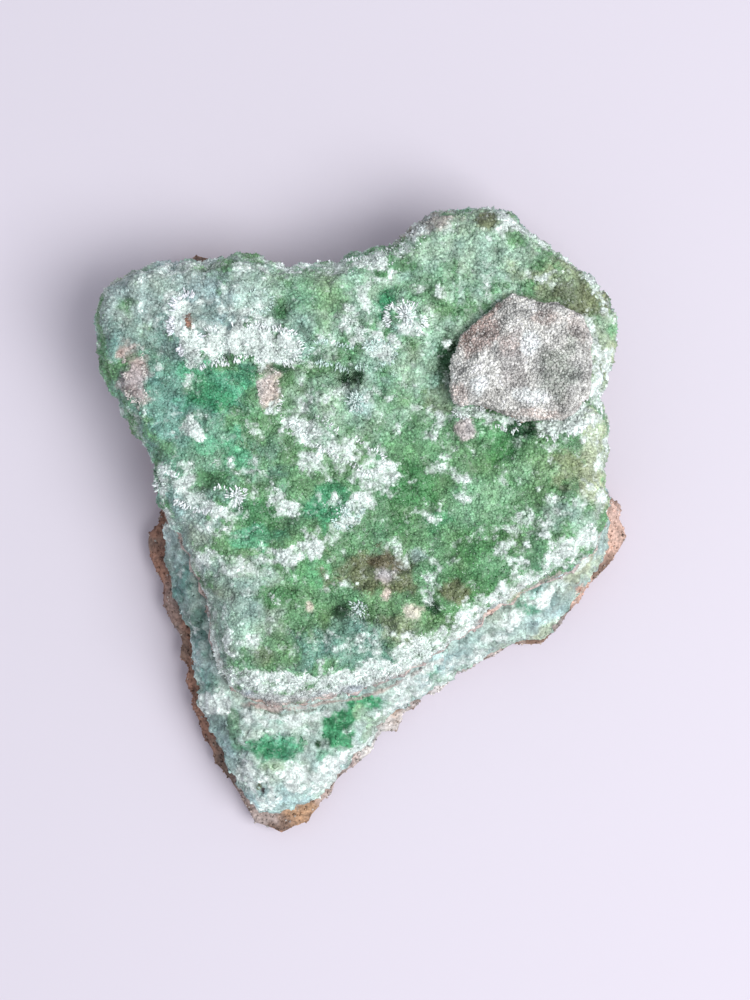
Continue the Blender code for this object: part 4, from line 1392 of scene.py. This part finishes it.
@dataclass
class Crust:
    """A crust of crystals: a fine skin in place of its solid, and the druse that grows on it.

    The pairs for widths and lengths are in millimetres, and those for grains' heights in widths. A pair is a
    value and what is added to it, times a random share from 0 to 1 or the place on the clump from -1 to 1.
    Only crystal_spread is a range, from its first value to its second.
    """

    node: str
    slot: str
    paint: Paint
    crystals: int
    seed: int
    sprays: tuple[Spray, ...] = ()
    tufts: tuple[Tuft, ...] = ()
    grain_scale: float = 1.0
    levels: int = 2
    clump: float = 3.6 * MM
    clump_height: float = 1.1 * MM
    block: float = 1.3 * MM
    block_height: float = 0.0
    rosette: float = 1.9 * MM
    cover_side: float = 0.55
    seam_recess: float = 0.25 * MM
    seam_clear: float = 1.1 * MM
    seam_start: float = 0.3 * MM
    seam_reach: float = 1.5 * MM
    thinning: float = 0.45
    blade_share: float = 0.5
    blade_lean: float = 0.9
    blade_jitter: float = 0.22
    blade_width: tuple[float, float] = (0.22, 0.14)
    blade_length: tuple[float, float] = (0.40, 0.50)
    grain_lean: float = 0.25
    grain_jitter: float = 0.26
    grain_width: tuple[float, float] = (0.36, 1.1)
    grain_coarse: float = 0.35
    grain_height: tuple[float, float] = (0.20, 0.34)
    grain_sunk: float = 0.12
    glints: float = 0.05
    glint_size: float = 0.25 * MM
    spray_under: float = 5.0 * MM
    spray_reach: float = 1.2 * MM
    tone_share: float = 0.90
    # Painted shade: the skin and the crystals are darker low in the hollows between clumps and lighter on
    # their tops
    skin_light: tuple[float, float] = (0.80, 0.15)
    crystal_hollow_shade: tuple[float, float] = (0.91, 0.12)
    crystal_spread: tuple[float, float] = (0.84, 1.14)
    foot_shade: float = 0.94
    tip_shade: float = 1.08
    noise: Noise = field(default_factory=lambda: Noise(11))

    def build(self, skin_finish: bpy.types.Material, crystal_finish: bpy.types.Material) -> None:
        """Makes the skin and the druse, and puts them into the scene.

        Args:
            skin_finish: the material of the skin.
            crystal_finish: the material of the crystals.
        """
        skin = self.skin()
        piece = make_piece(self.node + "_skin", skin, skin_finish, True)
        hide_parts(self.node)
        growth, blade = self.growth(skin)
        for form, chosen in ((Form.GRAIN, ~blade), (Form.BLADE, blade)):
            crystals = growth.part(chosen)
            if len(crystals.feet) == 0:
                continue
            pieces = 1 + len(crystals.feet) * len(Stamp.of(form).corners) // PIECE_LIMIT
            order = np.argsort(crystals.feet[:, 1])
            for index, share in enumerate(np.array_split(order, pieces)):
                name = f"{self.node}_{form.value}s_{index + 1}"
                surface = crystals.part(share).stamped(form, self.seed + index)
                make_piece(name, surface, crystal_finish, False)
        if self.sprays:
            surface = self.spray_growth(skin).stamped(Form.PRISM, self.seed + SPRAY_TURNS)
            make_piece(self.node + "_sprays", surface, crystal_finish, False)
        if self.tufts:
            surface = self.tuft_growth(skin).stamped(Form.BLADE, self.seed + TUFT_TURNS)
            make_piece(self.node + "_tufts", surface, crystal_finish, False)

    def raised(self, points: np.ndarray) -> np.ndarray:
        """How high points stand on the clumps: domes of three sizes added up, less their usual height.

        Args:
            points: positions in metres.

        Returns:
            The height at each point, brought to -1 to 1.
        """
        layers = ((0.45, 1.0, 0.0), (0.33, 0.53, 3.0), (0.22, 0.27, 5.0))
        total = sum(
            share * self.noise.domes(points + shift, size * self.clump) for share, size, shift in layers
        )
        return np.clip((total - 0.62) / 0.28, -1.0, 1.0)

    def skin(self) -> Surface:
        """The solid's smoothed copy, raised into clumps along its normals and drawn in next to the seam.

        Where block_height is over 0, it is broken into small tilted blocks of two sizes too.

        Returns:
            The skin, with its tone, frost and light.
        """
        skin = smoothed_copy(self.node, self.levels)
        normals = skin.normals()
        raised = self.raised(skin.points)
        frost = self.paint.frosting(skin.points, raised)
        tones = self.tone_share * self.paint.tones(skin.points, normals)
        # Painted shade: the skin is darker low between clumps and lighter on their tops
        light = (self.skin_light[0] + self.skin_light[1] * raised) * self.paint.sparkle(skin.points)
        seam = smooth_step((self.seam_gap(skin.points) - self.seam_start) / self.seam_reach)
        rise = (0.5 * self.clump_height * raised + self.seam_recess) * seam - self.seam_recess
        if self.block_height > 0.0:
            heights, marks = self.noise.blocks(skin.points, self.block)
            small, small_marks = self.noise.blocks(skin.points + 1.0, 0.5 * self.block)
            rise += self.block_height * (heights + 0.5 * small) * seam
            light = light * (1.0 + 0.10 * marks + 0.08 * small_marks)
        skin.points = skin.points + normals * rise[:, None]
        skin.values = {"tone": np.clip(tones, 0.0, 0.9), "frost": frost, "light": light}
        return skin

    def seam_gap(self, points: np.ndarray) -> np.ndarray:
        """How far points are from the parting, whose edge stays bare.

        Args:
            points: positions in metres.

        Returns:
            The distance from each to the nearest corner of the parting's solid.
        """
        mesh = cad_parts["rock_parting"].data
        corners = np.empty(3 * len(mesh.vertices), np.float32)
        mesh.vertices.foreach_get("co", corners)
        corners = np.unique(corners.reshape(-1, 3), axis=0).astype(float)
        nearest = np.empty(len(points))
        for chosen in np.array_split(np.arange(len(points)), 1 + len(points) // 4000):
            gap = np.linalg.norm(points[chosen, None, :] - corners[None, :, :], axis=2)
            nearest[chosen] = gap.min(axis=1)
        return nearest

    def growth(self, skin: Surface) -> tuple[Growth, np.ndarray]:
        """The druse over the skin.

        Crystals stand thickest on top and leave the seam bare. Each leans away from the middle of its rosette
        and by a random share. Blades stand where needles are painted and grains elsewhere, fewer and larger
        ones where the crust is coarse. A small share are tiny white glints.

        Args:
            skin: the surface that the crystals grow on.

        Returns:
            The crystals, and which of them are blades.
        """
        rng = np.random.default_rng(self.seed)
        _, facing = skin.facings()
        keep = np.clip(self.cover_side + (1.0 - self.cover_side) * (facing[:, 2] + 0.3), 0.0, 1.0)
        keep = np.where(facing[:, 2] < -0.6, 0.0, keep)
        feet, normals = skin.scattered(self.crystals, keep, self.seed)
        clear = self.seam_gap(feet) > self.seam_clear + 0.5 * MM * self.noise.at(feet, 2.0 * MM)
        ragged = 0.5 * self.noise.at(feet, 1.4 * MM)
        coarse = strongest(self.paint.coarse, self.paint.plan.pixels(feet), ragged, self.paint.coarse_ground)
        chosen = clear & (rng.uniform(0.0, 1.0, len(feet)) > self.thinning * coarse)
        feet, normals, coarse, ragged = feet[chosen], normals[chosen], coarse[chosen], ragged[chosen]
        count = len(feet)
        needle = strongest(self.paint.needles, self.paint.plan.pixels(feet), ragged, 0.0)
        blade = rng.uniform(0.0, 1.0, count) < self.blade_share * needle
        raised = self.raised(feet)
        frost = self.paint.frosting(feet, raised)
        _, away, _ = self.noise.cells(feet + 3.0, self.rosette)
        lean = (away - normals * (away * normals).sum(1, keepdims=True)) / 0.6
        leans = np.where(blade, self.blade_lean, self.grain_lean)[:, None]
        jitters = np.where(blade, self.blade_jitter, self.grain_jitter)[:, None]
        jitter = rng.normal(0.0, 1.0, (count, 3)) * jitters
        ways = unit(normals + lean * leans + jitter)
        long = rng.uniform(0.0, 1.0, count)
        large = rng.uniform(0.0, 1.0, count) ** 2.4 + self.grain_coarse * coarse
        wide = self.grain_width[0] + self.grain_width[1] * large
        narrow = self.blade_width[0] + self.blade_width[1] * long
        widths = MM * np.where(blade, narrow, wide * self.grain_scale)
        blade_lengths = MM * (self.blade_length[0] + self.blade_length[1] * long**1.5)
        grain_lengths = widths * (self.grain_height[0] + self.grain_height[1] * long)
        lengths = np.where(blade, blade_lengths, grain_lengths)
        sunk = feet - normals * np.where(blade, 0.0, self.grain_sunk * widths)[:, None]
        body = self.tone_share * self.paint.tones(feet, normals)
        glint = ~blade & (rng.uniform(0.0, 1.0, count) < self.glints)
        frost = np.where(glint, np.maximum(frost, 0.85), frost)
        widths = np.where(glint, self.glint_size, widths)
        lengths = np.where(glint, self.glint_size, lengths)
        # Painted shade: crystals are darker low between clumps and lighter on their tops
        light = self.paint.sparkle(feet) * (self.crystal_hollow_shade[0] + self.crystal_hollow_shade[1] * raised)
        light = light * rng.uniform(*self.crystal_spread, count)
        foot = np.clip(self.foot_shade * body, 0.0, 0.95)
        tip = np.clip(self.tip_shade * body + 0.01, 0.0, 0.95)
        return Growth(sunk, ways, lengths, widths, foot, tip, frost, light), blade

    def spray_growth(self, skin: Surface) -> Growth:
        """The sprays of long crystals.

        Each spray's crystals start near its middle, which is sunk under the skin's highest point there, and
        spread over a dome: a crystal's lean grows with the square root of its number in the spray.

        Args:
            skin: the surface that the sprays stand on.

        Returns:
            The crystals of every spray.
        """
        rng = np.random.default_rng(self.seed + SPRAY_DRAWS)
        plan = self.paint.plan
        parts = []
        for spray in self.sprays:
            x, y = plan.place(spray.across, spray.down, skin.points[:, 2].max() - self.spray_under)
            near = np.hypot(skin.points[:, 0] - x, skin.points[:, 1] - y)
            height = skin.points[near < self.spray_reach, 2].max()
            radius = spray.radius * plan.pixel
            share = np.sqrt((np.arange(spray.blades) + 0.5) / spray.blades)
            turn = GOLDEN_TURN * np.arange(spray.blades) + rng.uniform(0.0, 0.5, spray.blades)
            tilt = spray.spread * share + rng.normal(0.0, 0.10, spray.blades)
            ways = np.stack(
                [np.cos(turn) * np.sin(tilt), np.sin(turn) * np.sin(tilt), np.cos(tilt)], axis=1
            )
            feet = np.array([x, y, height - spray.sunk * radius]) + 0.15 * radius * ways
            lengths = radius * (0.62 + 0.38 * share) * rng.uniform(0.60, 1.10, spray.blades)
            widths = rng.uniform(*spray.widths, spray.blades) * MM
            tone = np.tile(spray.tone.linear(), (spray.blades, 1))
            tip = tone + (Tone.FROST.linear() - tone) * 0.6
            light = rng.uniform(0.90, 1.08, spray.blades)
            parts.append((feet, ways, lengths, widths, tone, tip, np.zeros(spray.blades), light))
        return Growth(*(np.concatenate(column) for column in zip(*parts)))

    def tuft_growth(self, skin: Surface) -> Growth:
        """The fringes of the tufts.

        A tuft's needles stand in clusters along the streak's edge, where noise is over a level. Each leans
        outwards from the streak's line, by more the nearer it stands to the edge, and the outer ones are
        the longer.

        Args:
            skin: the surface that the tufts stand on.

        Returns:
            The needles of every tuft.
        """
        rng = np.random.default_rng(self.seed + TUFT_DRAWS)
        plan = self.paint.plan
        _, facing = skin.facings()
        centres = skin.points[skin.corners].mean(1)
        middles = plan.pixels(centres)
        parts = []
        for index, tuft in enumerate(self.tufts):
            gap = np.linalg.norm(tuft.line.away(middles), axis=1)
            keep = np.abs(gap / tuft.line.half - tuft.edge) < tuft.band
            clusters = self.noise.at(centres + 21.0, 1.5 * MM) > -0.1
            keep = np.where(keep & clusters & (facing[:, 2] > 0.1), 1.0, 0.0)
            feet, normals = skin.scattered(tuft.needles, keep, self.seed + TUFT_FEET + index)
            away = tuft.line.away(plan.pixels(feet)) * (1.0, -1.0)
            edge = np.clip(np.linalg.norm(away, axis=1, keepdims=True) / tuft.line.half, 0.0, 1.0)
            out = np.concatenate([unit(away), np.zeros_like(edge)], axis=1)
            lean = out * (0.3 + 1.1 * edge**2) + rng.normal(0.0, 0.22, (tuft.needles, 3))
            ways = unit(normals * (1.0 - 0.5 * edge) + lean)
            lengths = tuft.length * MM * rng.uniform(0.3, 1.1, tuft.needles) * (0.6 + 0.6 * edge[:, 0])
            widths = MM * rng.uniform(*tuft.widths, tuft.needles)
            tone = np.tile(tuft.tone.linear(), (tuft.needles, 1))
            tip = np.minimum(tone + (Tone.FROST.linear() - tone) * 0.35, 0.97)
            light = rng.uniform(0.96, 1.10, tuft.needles)
            parts.append((feet, ways, lengths, widths, tone, tip, np.zeros(tuft.needles), light))
        return Growth(*(np.concatenate(column) for column in zip(*parts)))


@dataclass
class Rock:
    """A rock: a rough skin in place of its solid, and the loose grains on it."""

    node: str
    slot: str
    paint: Paint
    grains: int
    seed: int
    levels: int = 2
    ripple: float = 0.35 * MM
    grain_size: tuple[float, float] = (0.25 * MM, 0.6 * MM)
    dark_share: float = 0.07
    pale_share: float = 0.0
    grain_light: tuple[float, float] = (0.62, 1.35)
    noise: Noise = field(default_factory=lambda: Noise(23))

    def build(self, finish: bpy.types.Material) -> None:
        """Makes the skin and the grains, and puts them into the scene.

        Args:
            finish: the material of both.
        """
        skin = self.skin()
        piece = make_piece(self.node + "_skin", skin, finish, True)
        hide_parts(self.node)
        surface = self.growth(skin).stamped(Form.RHOMB, self.seed)
        make_piece(self.node + "_grains", surface, finish, False)

    def skin(self) -> Surface:
        """The solid's surface cut finer and roughened by noise along its normals, flat where it rests.

        Returns:
            The skin, with its tone and frost.
        """
        skin = smoothed_copy(self.node, self.levels, rounded=False)
        normals = skin.normals()
        floor = smooth_step((skin.points[:, 2] - 0.2 * MM) / (0.8 * MM))
        rise = self.noise.layered(skin.points, 1.9 * MM) * self.ripple * floor
        skin.points = skin.points + normals * rise[:, None]
        skin.points[:, 2] = np.maximum(skin.points[:, 2], 0.0)
        skin.values = {
            "tone": self.paint.tones(skin.points, normals),
            "frost": np.full(len(skin.points), 1.0),
        }
        return skin

    def growth(self, skin: Surface) -> Growth:
        """Grains half sunk in the skin at random turns, none where the rock rests.

        Some of them are dark and some pale.

        Args:
            skin: the surface that the grains sit in.

        Returns:
            The grains.
        """
        rng = np.random.default_rng(self.seed)
        _, facing = skin.facings()
        feet, normals = skin.scattered(self.grains, np.where(facing[:, 2] < -0.5, 0.0, 1.0), self.seed)
        count = len(feet)
        ways = unit(normals + rng.normal(0.0, 0.7, (count, 3)))
        size = rng.uniform(*self.grain_size, count)
        tone = self.paint.tones(feet, normals) * rng.uniform(*self.grain_light, (count, 1))
        pick = rng.uniform(0.0, 1.0, count)
        dark = pick < self.dark_share
        tone[dark] = 0.45 * tone[dark]
        pale = pick > 1.0 - self.pale_share
        tone[pale] = 0.5 * tone[pale] + 0.5 * Tone.ASH.linear() * rng.uniform(0.9, 1.25, (pale.sum(), 1))
        tone = np.clip(tone, 0.0, 0.9)
        return Growth(feet, ways, 0.7 * size, size, tone, tone, np.full(count, 0.8), np.ones(count))


@dataclass(frozen=True)
class Studio:
    """The plain floor, the soft lights and the camera."""

    plan: Plan = Plan()
    floor_side: float = 8.0
    floor_tone: tuple[float, float, float] = (0.66, 0.62, 0.69)
    key_power: float = 7.6
    key_side: float = 0.55
    key_place: tuple[float, float, float] = (0.42, -0.16, 0.80)
    world_tone: tuple[float, float, float] = (0.90, 0.91, 1.0)
    world_strength: float = 0.58

    def build(self) -> None:
        """Sets up the camera, the lights and the floor."""
        self.camera()
        self.lights()
        self.floor()

    def camera(self) -> None:
        """A camera straight above the specimen, with the photograph's frame."""
        data = bpy.data.cameras.new("camera")
        data.sensor_width = self.plan.sensor
        data.lens = self.plan.lens()
        data.clip_start = 10.0 * MM
        camera = bpy.data.objects.new("camera", data)
        camera.location = (self.plan.axis_x, self.plan.axis_y, self.plan.camera_height)
        bpy.context.scene.collection.objects.link(camera)
        bpy.context.scene.camera = camera

    def lights(self) -> None:
        """One large soft light from the right and in front, and an even pale sky."""
        data = bpy.data.lights.new("key", "AREA")
        data.energy = self.key_power
        data.size = self.key_side
        key = bpy.data.objects.new("key", data)
        key.location = self.key_place
        key.rotation_euler = Vector(self.key_place).to_track_quat("Z", "Y").to_euler()
        bpy.context.scene.collection.objects.link(key)
        world = bpy.data.worlds.new("sky")
        world.use_nodes = True
        sky = world.node_tree.nodes["Background"]
        sky.inputs["Color"].default_value = (*self.world_tone, 1.0)
        sky.inputs["Strength"].default_value = self.world_strength
        bpy.context.scene.world = world
        bpy.context.scene.view_settings.view_transform = "Standard"

    def floor(self) -> None:
        """A plain pale floor that the specimen rests on."""
        half = 0.5 * self.floor_side
        corners = [(-half, -half, 0.0), (half, -half, 0.0), (half, half, 0.0), (-half, half, 0.0)]
        mesh = bpy.data.meshes.new("floor")
        mesh.from_pydata(corners, [], [(0, 1, 2, 3)])
        material = bpy.data.materials.new("floor")
        material.use_nodes = True
        shader = material.node_tree.nodes["Principled BSDF"]
        shader.inputs["Base Color"].default_value = (*self.floor_tone, 1.0)
        shader.inputs["Roughness"].default_value = 0.8
        mesh.materials.append(material)
        floor = bpy.data.objects.new("floor", mesh)
        bpy.context.scene.collection.objects.link(floor)


def main() -> None:
    """Builds the specimen and its studio in order."""
    logging.basicConfig(level=logging.INFO, format="%(message)s")
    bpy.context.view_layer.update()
    Studio().build()
    crystal = DruseFinish("smithsonite_crystals", glassy=0.42, frosted=0.55).material()
    skin = DruseFinish(
        "smithsonite_skin", glassy=0.42, frosted=0.55, bump=0.5, bump_depth=0.06 * MM
    ).material()
    rock = Finish(
        "rock", glassy=0.8, frosted=0.92, speck_scale=1900.0, speck_dark=0.6, speck_light=1.35, bump=0.9
    ).material()
    pale_rock = Finish(
        "pale_rock", glassy=0.7, frosted=0.85, speck_scale=2000.0, speck_dark=0.62, speck_light=1.32, bump=0.9
    ).material()
    upper = Crust(
        "upper_crust", "smithsonite", UPPER_PAINT,
        crystals=60000, seed=100, sprays=UPPER_SPRAYS, tufts=UPPER_TUFTS,
    )
    upper.build(skin, crystal)
    ledge = Crust(
        "lower_crust", "smithsonite_ledge", LEDGE_PAINT,
        crystals=5000, seed=200, levels=3, grain_scale=1.1, block_height=0.34 * MM,
    )
    ledge.build(skin, crystal)
    host = Rock("host_rock", "host_rock", HOST_PAINT, grains=9000, seed=300, pale_share=0.15)
    host.build(rock)
    parting = Rock(
        "rock_parting", "parting_rock", PARTING_PAINT,
        grains=2500, seed=400, grain_size=(0.35 * MM, 0.8 * MM), pale_share=0.25,
    )
    parting.build(rock)
    block = Rock(
        "rock_block", "block_rock", BLOCK_PAINT, grains=9000, seed=500, levels=3,
        grain_size=(0.22 * MM, 0.62 * MM), grain_light=(0.68, 1.26), dark_share=0.02, pale_share=0.35,
    )
    block.build(pale_rock)


if __name__ == "__main__":
    main()
